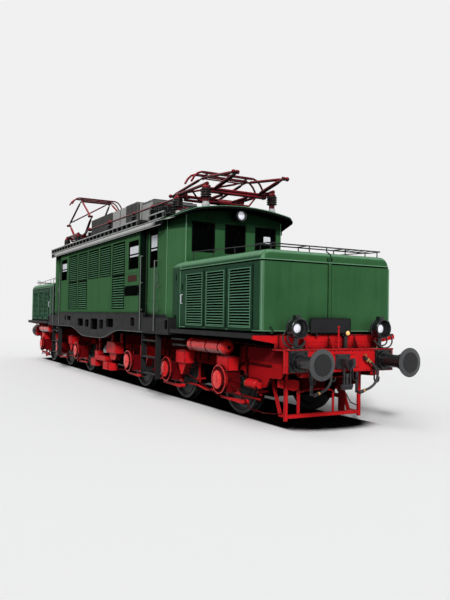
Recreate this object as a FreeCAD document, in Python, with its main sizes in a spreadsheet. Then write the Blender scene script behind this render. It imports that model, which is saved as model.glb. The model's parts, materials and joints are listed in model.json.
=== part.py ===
import FreeCAD, Part
import Sketcher
import math
import os
import re

# Six-axle electric locomotive with two long bonnets, in millimetres.
# +X points to the front end, +Y to its left side, +Z up.  The origin is on the floor,
# at the middle of the locomotive, under the wheel flanges.
# Every height in the sheet is measured from the rail top, which lies one flange depth
# above the floor: the helpers below add it.

doc = FreeCAD.newDocument("electric_locomotive")
sheet = doc.addObject("Spreadsheet::Sheet", "Sizes")

SIZES = [
    # alias, value
    ("rail_top", 28),
    ("wheel_radius", 625),
    ("flange_radius", 653),
    ("flange_inner_face", 680),
    ("tread_inner_face", 713),
    ("wheel_outer_face", 820),
    ("axle_radius", 95),
    ("journal_radius", 80),
    ("journal_end", 1180),
    ("running_gap", 0.1),
    ("pivot_place", 4550),
    ("axle_pitch", 2300),
    ("buffer_place", 875),
    ("buffer_height", 1050),
    ("buffer_face", 9300),
    ("beam_face", 8665),
    ("beam_half_width", 1100),
    ("beam_low", 873),
    ("beam_high", 1235),
    ("body_half_width", 1475),
    ("wall", 60),
    ("wall_end", 3500),
    ("frame_end", 3700),
    ("bulkhead_place", 2660),
    ("frame_low", 1360),
    ("belly_low", 1120),
    ("belly_arc", 3071),
    ("frame_high", 1790),
    ("floor_low", 1690),
    ("floor_high", 1750),
    ("door_plane", 1340),
    ("door_low", 1750),
    ("door_high", 3690),
    ("door_rear", 3560),
    ("door_front", 4270),
    ("door_gap", 10),
    ("door_thickness", 45),
    ("cab_side_end", 4650),
    ("cab_face", 5164),
    ("cab_half_width", 1150),
    ("step_box_end", 5080),
    ("roof_end", 5550),
    ("roof_half_width", 1500),
    ("roof_skirt_low", 3610),
    ("roof_eave", 3720),
    ("roof_shoulder_width", 1200),
    ("roof_shoulder", 3870),
    ("roof_crown", 4010),
    ("roof_arc", 5213),
    ("roof_thickness", 60),
    ("hood_rear", 4980),
    ("hood_face", 8330),
    ("hood_half_width", 1343),
    ("hood_low", 1475),
    ("hood_shoulder", 2640),
    ("hood_edge_radius", 180),
    ("hood_skin", 40),
    ("cab_clearance", 70),
    ("deck_low", 1395),
    ("deck_rear", 5175),
    ("deck_end", 8290),
    ("deck_half_width", 1478),
    ("plate_inner", 930),
    ("plate_outer", 970),
    ("plate_high", 1230),
    ("plate_low", 800),
    ("box_face", 1220),
    ("cover_radius", 250),
    ("panto_place", 4660),
    ("shaft_place", 530),
    ("shaft_height", 4370),
    ("shaft_radius", 35),
    ("lower_arm", 975),
    ("upper_arm", 1430),
    ("arm_half_width", 540),
    ("lamp_place", 860),
    ("lamp_height", 1570),
]
for row, (alias, number) in enumerate(SIZES, start=1):
    sheet.set("A%d" % row, alias)
    sheet.set("B%d" % row, str(number))
    sheet.setAlias("B%d" % row, alias)
doc.recompute()

ALIAS = re.compile(r"\b(" + "|".join(alias for alias, number in SIZES) + r")\b")
NODES = []


def linked(text):
    """An expression in which each alias points at its cell in the sheet."""
    return ALIAS.sub(r"Sizes.\1", str(text))


def value(text):
    """The number that an expression of aliases comes to."""
    result = sheet.evalExpression(linked(text))
    return float(getattr(result, "Value", result))


def above_rail(text):
    """A height above the floor, from one above the rail top."""
    return "rail_top + (%s)" % text


def bind(thing, **expressions):
    """Bind properties to expressions; a double underscore stands for a dot."""
    for name, text in expressions.items():
        thing.setExpression(name.replace("__", "."), linked(text))


def place(thing, x, y, z, rotation=None):
    if rotation is not None:
        thing.Placement = FreeCAD.Placement(FreeCAD.Vector(), rotation)
    bind(thing, Placement__Base__x=x, Placement__Base__y=y, Placement__Base__z=z)


def named(thing, label):
    """Make an object one of the sub-parts, under its own label."""
    thing.Label = label
    NODES.append(thing)
    return thing


# Turns the X axis onto the axis that a round piece runs along.
TURN = {
    "X": FreeCAD.Rotation(),
    "Y": FreeCAD.Rotation(FreeCAD.Vector(0, 0, 1), 90),
    "Z": FreeCAD.Rotation(FreeCAD.Vector(0, 1, 0), -90),
}
# Turns the Z axis, which a Part cylinder runs along, onto the same axes.
STAND = {
    "X": FreeCAD.Rotation(FreeCAD.Vector(0, 1, 0), 90),
    "Y": FreeCAD.Rotation(FreeCAD.Vector(1, 0, 0), -90),
    "Z": FreeCAD.Rotation(),
}


def box(name, x, y, z):
    """A block between a low and a high place along each axis."""
    block = doc.addObject("Part::Box", name)
    bind(
        block,
        Length="(%s) - (%s)" % (x[1], x[0]),
        Width="(%s) - (%s)" % (y[1], y[0]),
        Height="(%s) - (%s)" % (z[1], z[0]),
    )
    place(block, x[0], y[0], above_rail(z[0]))
    return block


def rod(name, axis, start, length, radius):
    """A round bar from a start point along one axis."""
    bar = doc.addObject("Part::Cylinder", name)
    bind(bar, Radius=radius, Height=length)
    place(bar, start[0], start[1], above_rail(start[2]), STAND[axis])
    return bar


def group(name, pieces):
    """Pieces that stay separate solids."""
    compound = doc.addObject("Part::Compound", name)
    compound.Links = pieces
    return compound


def fuse(name, pieces):
    joined = doc.addObject("Part::MultiFuse", name)
    joined.Shapes = pieces
    return joined


def cut(name, base, tools):
    result = doc.addObject("Part::Cut", name)
    result.Base = base
    result.Tool = tools[0] if len(tools) == 1 else group(name + "_tools", tools)
    return result


def common(name, base, tool):
    result = doc.addObject("Part::Common", name)
    result.Base = base
    result.Tool = tool
    return result


def mirror(name, source, normal):
    """The mirror image of a piece across the plane through the origin with this normal."""
    image = doc.addObject("Part::Mirroring", name)
    image.Source = source
    image.Normal = FreeCAD.Vector(*normal)
    return image


def both_sides(name, piece):
    """A piece on the left side together with its image on the right."""
    return group(name, [piece, mirror(name + "_image", piece, (0, 1, 0))])


def arc_between(first, second, radius, turn):
    """The arc of a circle from one point to the next; turn is 1 to the left, -1 to the right."""
    middle = (first + second) * 0.5
    chord = second - first
    rise = math.sqrt(radius ** 2 - (chord.Length / 2) ** 2)
    side = FreeCAD.Vector(-chord.y, chord.x, 0).normalize()
    centre = middle + side * rise * turn
    ends = [first, second] if turn > 0 else [second, first]
    angles = [math.atan2(end.y - centre.y, end.x - centre.x) for end in ends]
    circle = Part.Circle(centre, FreeCAD.Vector(0, 0, 1), radius)
    return Part.ArcOfCircle(circle, angles[0], angles[1])


def outline(body, role, rows):
    """A closed sketch through a table of rows: across, up[, radius, turn].

    Each row is a corner, bound to the sheet.  A row with a radius has an arc to the next.
    """
    sketch = body.newObject("Sketcher::SketchObject", body.Name + "_sketch")
    plane = next(face for face in body.Origin.OriginFeatures if face.Role == role)
    sketch.AttachmentSupport = [(plane, "")]
    sketch.MapMode = "FlatFace"
    corners = [FreeCAD.Vector(value(row[0]), value(row[1]), 0) for row in rows]
    begins, ends = [], []
    for index, row in enumerate(rows):
        here, there = corners[index], corners[(index + 1) % len(rows)]
        if len(row) == 2:
            sketch.addGeometry(Part.LineSegment(here, there))
            begins.append(1)
            ends.append(2)
        else:
            sketch.addGeometry(arc_between(here, there, value(row[2]), row[3]))
            begins.append(1 if row[3] > 0 else 2)
            ends.append(2 if row[3] > 0 else 1)
    for index, row in enumerate(rows):
        following = (index + 1) % len(rows)
        sketch.addConstraint(
            Sketcher.Constraint("Coincident", index, ends[index], following, begins[following])
        )
    for index, row in enumerate(rows):
        corner = corners[index]
        for kind, place_on_axis, text in (("DistanceX", corner.x, row[0]), ("DistanceY", corner.y, row[1])):
            number = sketch.addConstraint(
                Sketcher.Constraint(kind, -1, 1, index, begins[index], place_on_axis)
            )
            sketch.setExpression("Constraints[%d]" % number, linked(text))
        if len(row) > 2:
            number = sketch.addConstraint(Sketcher.Constraint("Radius", index, value(row[2])))
            sketch.setExpression("Constraints[%d]" % number, linked(row[2]))
    return sketch


def lifted(rows):
    """The same table of rows with its heights counted from the floor."""
    return [(row[0], above_rail(row[1])) + tuple(row[2:]) for row in rows]


# Sketch plane, and the sign of its normal along the axis that the pad runs on.
PLANES = {"X": ("YZ_Plane", 1), "Y": ("XZ_Plane", -1), "Z": ("XY_Plane", 1)}


def plate(name, axis, rows, low, high):
    """An outline padded along an axis, between a low and a high place on it."""
    body = doc.addObject("PartDesign::Body", name)
    role, sign = PLANES[axis]
    sketch = outline(body, role, rows if axis == "Z" else lifted(rows))
    start = low if sign > 0 else "-(%s)" % high
    if axis == "Z":
        start = above_rail(start)
    bind(sketch, AttachmentOffset__Base__z=start)
    pad = body.newObject("PartDesign::Pad", name + "_pad")
    pad.Profile = sketch
    bind(pad, Length="(%s) - (%s)" % (high, low))
    sketch.Visibility = False
    return body


def turned(name, axis, rows, x, y, z):
    """A round piece from a table of rows: along its axis, radius."""
    body = doc.addObject("PartDesign::Body", name)
    sketch = outline(body, "XZ_Plane", rows)
    revolution = body.newObject("PartDesign::Revolution", name + "_turn")
    revolution.Profile = sketch
    revolution.ReferenceAxis = (sketch, ["H_Axis"])
    revolution.Angle = 360
    place(body, x, y, above_rail(z), TURN[axis])
    return body


def solid(name, shape):
    """A shape worked out from the sheet, as an object of its own."""
    feature = doc.addObject("Part::Feature", name)
    feature.Shape = shape
    return feature


def tube_between(start, end, radius):
    """A round bar between two points."""
    run = end - start
    return Part.makeCylinder(radius, run.Length, start, run)


def welded(shapes):
    """Shapes joined into one solid."""
    return shapes[0].multiFuse(shapes[1:]).removeSplitter()


# ---------------------------------------------------------------- central body


def make_roof():
    """A thin arched shell with a skirt along each side; its core bounds the cab walls."""
    half, shoulder = "roof_half_width", "roof_shoulder_width"
    outside = plate(
        "roof_outside",
        "X",
        [
            ("-" + half, "roof_skirt_low"),
            (half, "roof_skirt_low"),
            (half, "roof_eave"),
            (shoulder, "roof_shoulder", "roof_arc", 1),
            ("-" + shoulder, "roof_shoulder"),
            ("-" + half, "roof_eave"),
        ],
        "-roof_end",
        "roof_end",
    )
    eave = "roof_eave - roof_thickness / 2"
    core_rows = [
        ("-body_half_width", "frame_low"),
        ("body_half_width", "frame_low"),
        ("body_half_width", eave),
        (shoulder, "roof_shoulder - roof_thickness", "roof_arc", 1),
        ("-" + shoulder, "roof_shoulder - roof_thickness"),
        ("-body_half_width", eave),
    ]
    core = plate("roof_core", "X", core_rows, "-roof_end - 10", "roof_end + 10")
    plan = plate(
        "roof_plan",
        "Z",
        [
            ("-cab_side_end", "-" + half),
            ("cab_side_end", "-" + half),
            ("roof_end - 130", "-1290"),
            ("roof_end", "-1130"),
            ("roof_end", "1130"),
            ("roof_end - 130", "1290"),
            ("cab_side_end", half),
            ("-cab_side_end", half),
            ("130 - roof_end", "1290"),
            ("-roof_end", "1130"),
            ("-roof_end", "-1130"),
            ("130 - roof_end", "-1290"),
        ],
        "roof_skirt_low - 50",
        "roof_crown + 50",
    )
    shell = cut("roof_shell", outside, [core])
    named(common("roof_panel", shell, plan), "roof")
    return core


def make_side_wall(core):
    """One long wall with its door posts, made on the left and mirrored to the right."""
    pieces = [
        box(
            "wall_main",
            ("-wall_end", "wall_end"),
            ("body_half_width - wall", "body_half_width"),
            ("frame_high", "roof_crown"),
        )
    ]
    for end, sign in (("front", 1), ("rear", -1)):
        places = [("wall_end - wall", "wall_end"), ("wall_end", "cab_side_end")]
        spans = [pair if sign > 0 else ("-(%s)" % pair[1], "-(%s)" % pair[0]) for pair in places]
        pieces.append(
            box(
                "wall_return_" + end,
                spans[0],
                ("door_plane - wall", "body_half_width"),
                ("frame_high", "roof_crown"),
            )
        )
        pieces.append(
            box(
                "door_surround_" + end,
                spans[1],
                ("door_plane - wall", "door_plane"),
                ("floor_high", "roof_crown"),
            )
        )
    tools = []
    for sign in ("", "-"):
        opening = ("door_rear", "door_front")
        span = opening if sign == "" else ("-door_front", "-door_rear")
        tools.append(
            box(
                "door_opening" + ("_front" if sign == "" else "_rear"),
                span,
                ("door_plane - wall - 10", "door_plane + 10"),
                ("door_low", "door_high + door_gap"),
            )
        )
    # Openings in the long wall: centre, width, low, high, depth from the outside.
    wall_openings = [
        (-3060, 640, 2790, 3440, 80),
        (3060, 640, 2790, 3440, 80),
        (-2040, 860, 2720, 3480, 35),
        (-1020, 860, 2720, 3480, 35),
        (0, 860, 2720, 3480, 35),
        (1020, 860, 2720, 3480, 35),
        (2040, 860, 2720, 3480, 35),
        (-2040, 860, 1890, 2690, 35),
        (-1020, 860, 1890, 2690, 35),
        (2040, 860, 1890, 2690, 35),
    ]
    for index, (centre, width, low, high, depth) in enumerate(wall_openings):
        tools.append(
            box(
                "wall_opening_%d" % index,
                (centre - width / 2, centre + width / 2),
                ("body_half_width - %s" % depth, "body_half_width + 10"),
                (low, high),
            )
        )
    blank = fuse("wall_blank", pieces)
    under_roof = common("wall_under_roof", blank, core)
    wall = named(cut("left_wall", under_roof, tools), "left_side_wall")
    named(mirror("right_wall", wall, (0, 1, 0)), "right_side_wall")


def make_cab_wall(core):
    """The cab's front and its two slanted corner panels, as one bent wall."""
    blank = plate(
        "cab_wall_blank",
        "Z",
        [
            ("cab_side_end", "-door_plane"),
            ("cab_face", "-cab_half_width"),
            ("cab_face", "cab_half_width"),
            ("cab_side_end", "door_plane"),
            ("cab_side_end", "door_plane - wall"),
            ("cab_face - wall", "cab_half_width - wall * 0.7"),
            ("cab_face - wall", "wall * 0.7 - cab_half_width"),
            ("cab_side_end", "wall - door_plane"),
        ],
        "floor_low",
        "roof_crown",
    )
    under_roof = common("cab_wall_under_roof", blank, core)
    # Front windows: centre, width, low, high.
    windows = [(-755, 510, 3060, 3660), (0, 480, 3060, 3660), (755, 510, 3060, 3660)]
    tools = [
        box(
            "cab_window_%d" % index,
            ("cab_face - wall - 10", "cab_face + 10"),
            (centre - width / 2, centre + width / 2),
            (low, high),
        )
        for index, (centre, width, low, high) in enumerate(windows)
    ]
    wall = named(cut("front_cab", under_roof, tools), "front_cab_wall")
    named(mirror("rear_cab", wall, (1, 0, 0)), "rear_cab_wall")


def rounded_corners(rear, front, low, high, radius):
    """The table of rows of an oblong with round corners."""
    return [
        (rear + radius, low),
        (front - radius, low, radius, 1),
        (front, low + radius),
        (front, high - radius, radius, 1),
        (front - radius, high),
        (rear + radius, high, radius, 1),
        (rear, high - radius),
        (rear, low + radius, radius, 1),
    ]


def make_bridge_frame():
    """The load-bearing frame: two fish-bellied girders, floor, cross beams and pivot pins."""
    girder = plate(
        "girder_plate",
        "Y",
        [
            ("-frame_end", "frame_low"),
            ("-2300", "frame_low", "belly_arc", -1),
            ("-1450", "(frame_low + belly_low) / 2", "belly_arc", 1),
            ("-600", "belly_low"),
            ("600", "belly_low", "belly_arc", 1),
            ("1450", "(frame_low + belly_low) / 2", "belly_arc", -1),
            ("2300", "frame_low"),
            ("frame_end", "frame_low"),
            ("frame_end", "frame_high"),
            ("-frame_end", "frame_high"),
        ],
        "body_half_width - wall",
        "body_half_width",
    )
    # Lightening holes: rear end, front end, low, high.
    holes = [
        (-2900, -2750, 1550, 1690),
        (-2590, -2200, 1550, 1680),
        (-1410, -890, 1400, 1610),
        (-680, -340, 1390, 1590),
        (-150, 440, 1330, 1620),
        (620, 920, 1360, 1600),
        (1170, 1720, 1420, 1630),
        (2940, 3170, 1480, 1680),
    ]
    tools = [
        plate(
            "girder_hole_%d" % index,
            "Y",
            rounded_corners(rear, front, low, high, 45),
            "body_half_width - wall - 10",
            "body_half_width + 10",
        )
        for index, (rear, front, low, high) in enumerate(holes)
    ]
    girder = cut("girder", girder, tools)
    crate = box(
        "step_crate",
        ("frame_end", "step_box_end"),
        ("door_plane - wall", "body_half_width"),
        ("frame_low - 15", "floor_low"),
    )
    crate_tools = [
        box(
            "step_crate_inside",
            ("frame_end + 40", "step_box_end - 40"),
            ("door_plane - wall + 20", "body_half_width - 40"),
            ("frame_low + 25", "floor_low - 40"),
        ),
        box(
            "step_crate_hole",
            ("4900", "5035"),
            ("body_half_width - 60", "body_half_width + 10"),
            ("1460", "1640"),
        ),
    ]
    crate = cut("step_box", crate, crate_tools)
    solebar = box(
        "solebar",
        ("-step_box_end", "step_box_end"),
        ("440", "560"),
        ("frame_low - 15", "floor_low"),
    )
    left = [girder, crate, mirror("rear_step_box", crate, (1, 0, 0)), solebar]
    pieces = left + [mirror(piece.Name + "_right", piece, (0, 1, 0)) for piece in left]
    # Floor panels: name, end along X, half width.
    floors = [
        ("middle", "wall_end", "body_half_width - wall"),
        ("cabs", "cab_side_end", "door_plane"),
        ("ends", "cab_face - wall", "cab_half_width - wall"),
    ]
    for name, far, half in floors:
        pieces.append(
            box("floor_" + name, ("-(%s)" % far, far), ("-(%s)" % half, half), ("floor_low", "floor_high"))
        )
    # Cross beams: centre, half length along X.
    beams = [(-4550, 250), (4550, 250), (-3550, 60), (3550, 60), (-245, 70)]
    for index, (centre, half) in enumerate(beams):
        reach = "body_half_width - wall" if abs(centre) < 3600 else "door_plane - wall"
        pieces.append(
            box(
                "cross_beam_%d" % index,
                (centre - half, centre + half),
                ("-(%s)" % reach, reach),
                ("frame_low - 15", "floor_low"),
            )
        )
    for end, sign in (("front", ""), ("rear", "-")):
        pieces.append(
            rod("pivot_pin_" + end, "Z", (sign + "pivot_place", "0", "1060"), "frame_low - 1060", "120")
        )
    named(fuse("frame_weldment", pieces), "bridge_frame")


def make_cab_doors():
    """Four inward doors, each with its window cut and its hinge barrels on the inner side."""
    barrels = [
        rod("door_barrel_%d" % index, "Z", ("door_rear + 24", "door_plane - wall - 10", height), 120, 14)
        for index, height in enumerate((1900, 2640, 3400))
    ]
    leaf = box(
        "door_leaf",
        ("door_rear + door_gap", "door_front - door_gap"),
        ("door_plane - wall", "door_plane - wall + door_thickness"),
        ("door_low + door_gap", "door_high"),
    )
    window = box(
        "door_window",
        ("3690", "4120"),
        ("door_plane - wall - 10", "door_plane + 10"),
        ("2780", "3620"),
    )
    hung = fuse("hung_leaf", [leaf] + barrels)
    front_left = named(cut("front_left_door_cut", hung, [window]), "front_left_door")
    front_right = named(mirror("front_right_door_image", front_left, (0, 1, 0)), "front_right_door")
    named(mirror("rear_left_door_image", front_left, (1, 0, 0)), "rear_left_door")
    named(mirror("rear_right_door_image", front_right, (1, 0, 0)), "rear_right_door")


def make_inside():
    """A bulkhead, a desk and a seat in each cab, and the transformer between the bulkheads."""
    bulkhead = box(
        "bulkhead_plate",
        ("bulkhead_place - wall", "bulkhead_place"),
        ("wall - body_half_width", "body_half_width - wall"),
        ("floor_high", "roof_eave - 80"),
    )
    doorway = box(
        "bulkhead_doorway", ("bulkhead_place - 80", "bulkhead_place + 10"), (-350, 350), (1850, 3600)
    )
    bulkhead = cut("bulkhead", bulkhead, [doorway])
    desk = plate(
        "desk_block",
        "Y",
        [("4800", "floor_high"), ("5090", "floor_high"), ("5090", "2750"), ("4950", "2750"), ("4700", "2600"),
         ("4700", "2480"), ("4800", "2400")],
        "-950",
        "950",
    )
    seat_parts = [
        rod("seat_post", "Z", ("4250", "-450", "floor_high"), "500", "45"),
        box("seat_pan", ("4060", "4460"), ("-660", "-240"), ("2240", "2320")),
        box("seat_back", ("4060", "4120"), ("-660", "-240"), ("2310", "2750")),
    ]
    fittings = group("front_fittings", [bulkhead, desk, fuse("seat", seat_parts)])
    named(group("fittings", [fittings, mirror("rear_fittings", fittings, (1, 0, 0))]), "cab_interiors")
    named(box("transformer_block", ("-1100", "1100"), ("-850", "850"), ("floor_high", "3200")), "transformer")


def make_steps():
    """Ladders below the four cab doors."""
    strings = [
        box("ladder_string_rear", ("3640", "3655"), ("1350", "body_half_width"), ("400", "frame_low")),
        box("ladder_string_front", ("4445", "4460"), ("1350", "body_half_width"), ("400", "frame_low - 15")),
    ]
    for index, height in enumerate([478, 834, 1187]):
        strings.append(
            box("ladder_tread_%d" % index, ("3650", "4450"), ("1350", "body_half_width"),
                (height - 12, height + 12))
        )
    ladder = fuse("ladder", strings)
    ladder_pair = both_sides("front_ladders", ladder)
    named(group("ladders", [ladder_pair, mirror("rear_ladders", ladder_pair, (1, 0, 0))]), "cab_ladders")


def make_handrails():
    """Grab rails either side of each door, with their stand-offs."""
    rail = value("rail_top")
    radius = 12
    across = value("body_half_width") + 13
    # Rails: X, low, high, stand-off along Y, then along X.
    rails = [(3545, 1400, 3050, -43, -45), (4350, 1400, 2890, -148, 0)]
    shapes = []
    for x, low, high, along_y, along_x in rails:
        top = FreeCAD.Vector(x, across, high + rail)
        bottom = FreeCAD.Vector(x, across, low + rail)
        parts = [tube_between(bottom, top, radius), Part.makeSphere(radius, top)]
        for height in (low + 460, (low + high) / 2 + 230, high):
            foot = FreeCAD.Vector(x, across, height + rail)
            bend = foot + FreeCAD.Vector(0, along_y, 0)
            parts.append(tube_between(foot, bend, radius * 0.8))
            if along_x:
                knuckle = [bend + FreeCAD.Vector(0, 0, lift) for lift in (-radius, radius)]
                parts.append(tube_between(knuckle[0], knuckle[1], radius * 0.9))
                parts.append(tube_between(bend, bend + FreeCAD.Vector(along_x, 0, 0), radius * 0.8))
        foot = FreeCAD.Vector(x, across, low + rail + 15)
        parts.append(tube_between(foot, foot + FreeCAD.Vector(0, -13, 0), radius * 0.8))
        shapes.append(welded(parts))
    pair = solid("front_left_rails", Part.makeCompound(shapes))
    sides = both_sides("front_rails", pair)
    named(group("rails", [sides, mirror("rear_rails", sides, (1, 0, 0))]), "cab_handrails")


def make_roof_gear():
    """Walkways along both edges, the ducts between them and the headlamp above each cab."""
    bars = []
    # Sections: rear end, front end, number of posts.
    for section, (rear, front, posts) in enumerate([(-4900, 3200, 12), (3850, 4700, 3)]):
        for index, (low, high) in enumerate([(1180, 1210), (1295, 1325), (1410, 1440)]):
            bars.append(box("walk_bar_%d_%d" % (section, index), (rear, front), (low, high), (3880, 3905)))
        for index in range(posts):
            centre = rear + 15 + (front - rear - 30) / (posts - 1) * index
            across = (centre - 15, centre + 15)
            bars.append(box("walk_cross_%d_%d" % (section, index), across, (1180, 1440), (3860, 3881)))
            bars.append(box("walk_leg_%d_%d" % (section, index), across, (1400, 1430), (3720, 3865)))
    walkway = cut("walkway", fuse("walkway_bars", bars), [doc.getObject("roof_outside")])
    named(both_sides("walkways", walkway), "roof_walkways")
    # Ducts: rear end, front end, half width, top.
    ducts = [
        (-2900, -1560, 640, 4680),
        (-1550, -210, 640, 4680),
        (-200, 1150, 640, 4680),
        (1180, 2100, 600, 4640),
    ]
    boxes = [
        box("duct_%d" % index, (rear, front), (-half, half), ("roof_crown - 85", top))
        for index, (rear, front, half, top) in enumerate(ducts)
    ]
    sunk = common("ducts_above_roof", group("duct_boxes", boxes), doc.getObject("duct_bound"))
    named(sunk, "roof_ducts")
    lamp = turned(
        "roof_lamp",
        "X",
        [(0, 0), (0, 90), (150, 100), (250, 100), (250, 88), (200, 80), (200, 0)],
        "cab_face",
        0,
        3840,
    )
    named(group("roof_lamps", [lamp, mirror("rear_roof_lamp", lamp, (1, 0, 0))]), "roof_headlamps")


def make_duct_bound():
    """The space above the roof's outer surface, which the ducts stand in."""
    plate(
        "duct_bound",
        "X",
        [
            ("roof_shoulder_width", "roof_shoulder", "roof_arc", 1),
            ("-roof_shoulder_width", "roof_shoulder"),
            ("-roof_shoulder_width", "roof_crown + 900"),
            ("roof_shoulder_width", "roof_crown + 900"),
        ],
        "-roof_end",
        "roof_end",
    )


# ------------------------------------------------------------------ pantographs

# Pantograph: name, place of its middle, lower arm's angle at rest.
PANTOGRAPHS = [
    ("front_pantograph", "panto_place", 10.0),
    ("rear_pantograph", "-panto_place", 36.0),
]
HEAD_PIVOT = 70


def pantograph_points(middle, lower_angle):
    """Shaft, knee and head pivot of the fore half, in the plane of symmetry."""
    low = math.radians(lower_angle)
    reach = value("shaft_place") + value("lower_arm") * math.cos(low) - HEAD_PIVOT
    up = math.acos(reach / value("upper_arm"))
    shaft = FreeCAD.Vector(middle + value("shaft_place"), 0, value("shaft_height + rail_top"))
    knee = shaft + FreeCAD.Vector(math.cos(low), 0, math.sin(low)) * value("lower_arm")
    pivot = knee + FreeCAD.Vector(-math.cos(up), 0, math.sin(up)) * value("upper_arm")
    return shaft, knee, pivot


def across_bar(point, half_width, radius):
    side = FreeCAD.Vector(0, half_width, 0)
    return tube_between(point - side, point + side, radius)


def lower_arm_shape(shaft, knee):
    """Shaft, two stout tubes and a knee stub on each."""
    parts = [across_bar(shaft, 690, value("shaft_radius"))]
    for side in (-1, 1):
        offset = FreeCAD.Vector(0, side * value("arm_half_width"), 0)
        parts.append(tube_between(shaft + offset, knee + offset, 25))
        stub = [knee + FreeCAD.Vector(0, side * reach, 0) for reach in (520, 615)]
        parts.append(tube_between(stub[0], stub[1], 18))
    return welded(parts)


def upper_arm_shape(knee, pivot, with_brace):
    """Two thin tubes with eyes on the knee stubs, and the head rod that joins them."""
    parts = [across_bar(pivot, 540, 15)]
    for side in (-1, 1):
        low_end = knee + FreeCAD.Vector(0, side * 590, 0)
        high_end = pivot + FreeCAD.Vector(0, side * 522, 0)
        parts.append(tube_between(low_end, high_end, 18))
        parts.append(tube_between(low_end - FreeCAD.Vector(0, 17, 0), low_end + FreeCAD.Vector(0, 17, 0), 30))
    if with_brace:
        foot = knee + (pivot - knee) * 0.12 - FreeCAD.Vector(0, 582, 0)
        parts.append(tube_between(foot, pivot + FreeCAD.Vector(0, 430, 0), 13))
    shape = welded(parts)
    return shape.cut(across_bar(knee, 700, 18 + value("running_gap")))


def head_shape(pivot, middle):
    """Two contact strips with horns on a pair of lug plates."""
    centre = FreeCAD.Vector(middle, 0, pivot.z)
    parts = []
    for side in (-1, 1):
        lug = Part.makeBox(230, 14, 88, centre + FreeCAD.Vector(-115, side * 488 - 7, -28))
        bar = Part.makeBox(370, 14, 24, centre + FreeCAD.Vector(-185, side * 488 - 7, 54))
        parts += [lug, bar]
    for end in (-1, 1):
        strip = Part.makeBox(56, 1240, 30, centre + FreeCAD.Vector(end * 155 - 28, -620, 74))
        parts.append(strip)
        for side in (-1, 1):
            points = [(560, 88), (640, 88), (740, 50), (820, -30), (885, -140)]
            spots = [centre + FreeCAD.Vector(end * 155, side * y, z) for y, z in points]
            for first, second in zip(spots, spots[1:]):
                parts.append(tube_between(first, second, 16))
                parts.append(Part.makeSphere(16, second))
    shape = welded(parts)
    bore = across_bar(FreeCAD.Vector(middle + HEAD_PIVOT, 0, pivot.z), 600, 15 + value("running_gap"))
    slot_ends = [FreeCAD.Vector(middle - HEAD_PIVOT + shift, 0, pivot.z) for shift in (-14, 14)]
    slot = [across_bar(spot, 600, 21) for spot in slot_ends]
    slot.append(Part.makeBox(28, 1200, 42, slot_ends[0] - FreeCAD.Vector(0, 600, 21)))
    return shape.cut([bore] + slot)


def aft(shape, middle):
    """The image of a fore arm across the pantograph's middle."""
    return shape.mirror(FreeCAD.Vector(middle, 0, 0), FreeCAD.Vector(1, 0, 0))


def make_pantographs():
    frames, insulators = [], []
    for name, place_text, lower_angle in PANTOGRAPHS:
        middle = value(place_text)
        shaft, knee, pivot = pantograph_points(middle, lower_angle)
        lower = lower_arm_shape(shaft, knee)
        named(solid(name + "_fore_lower", lower), name + "_fore_lower_arm")
        named(solid(name + "_aft_lower", aft(lower, middle)), name + "_aft_lower_arm")
        named(solid(name + "_fore_upper", upper_arm_shape(knee, pivot, False)), name + "_fore_upper_arm")
        braced = upper_arm_shape(knee, pivot, True)
        named(solid(name + "_aft_upper", aft(braced, middle)), name + "_aft_upper_arm")
        named(solid(name + "_bow", head_shape(pivot, middle)), name + "_head")
        parts = []
        base = FreeCAD.Vector(middle, 0, value("shaft_height + rail_top"))
        for end in (-1, 1):
            parts.append(across_bar(base + FreeCAD.Vector(end * 575, 0, -70), 700, 22))
            for side in (-1, 1):
                corner = base + FreeCAD.Vector(end * 540 - 60, side * 680 - 20, -90)
                parts.append(Part.makeBox(120, 40, 150, corner))
                corner = base + FreeCAD.Vector(end * 540 - 60, side * 740 - 50, -30)
                parts.append(Part.makeBox(120, 100, 90, corner))
        for side in (-1, 1):
            rear_end = base + FreeCAD.Vector(-700, side * 800, 56)
            parts.append(tube_between(rear_end, rear_end + FreeCAD.Vector(1400, 0, 0), 24))
        frame = welded(parts)
        for end in (-1, 1):
            spot = base + FreeCAD.Vector(end * 530, 0, 0)
            frame = frame.cut(across_bar(spot, 700, value("shaft_radius + running_gap")))
        frames.append(solid(name + "_base", frame))
        for end in (-1, 1):
            for side in (-1, 1):
                sign = "+" if end > 0 else "-"
                post = turned(
                    "%s_insulator_%d" % (name, len(insulators)),
                    "Z",
                    [(-90, 0), (-90, 60), (190, 60), (200, 92), (385, 92), (395, 56), (452, 56), (452, 0)],
                    "%s %s 670" % (place_text, sign),
                    side * 800,
                    3950,
                )
                insulators.append(cut(post.Name + "_foot", post, [doc.getObject("roof_outside")]))
    named(group("pantograph_bases", frames + insulators), "pantograph_frames")


# ----------------------------------------------------------------------- bogies


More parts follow.
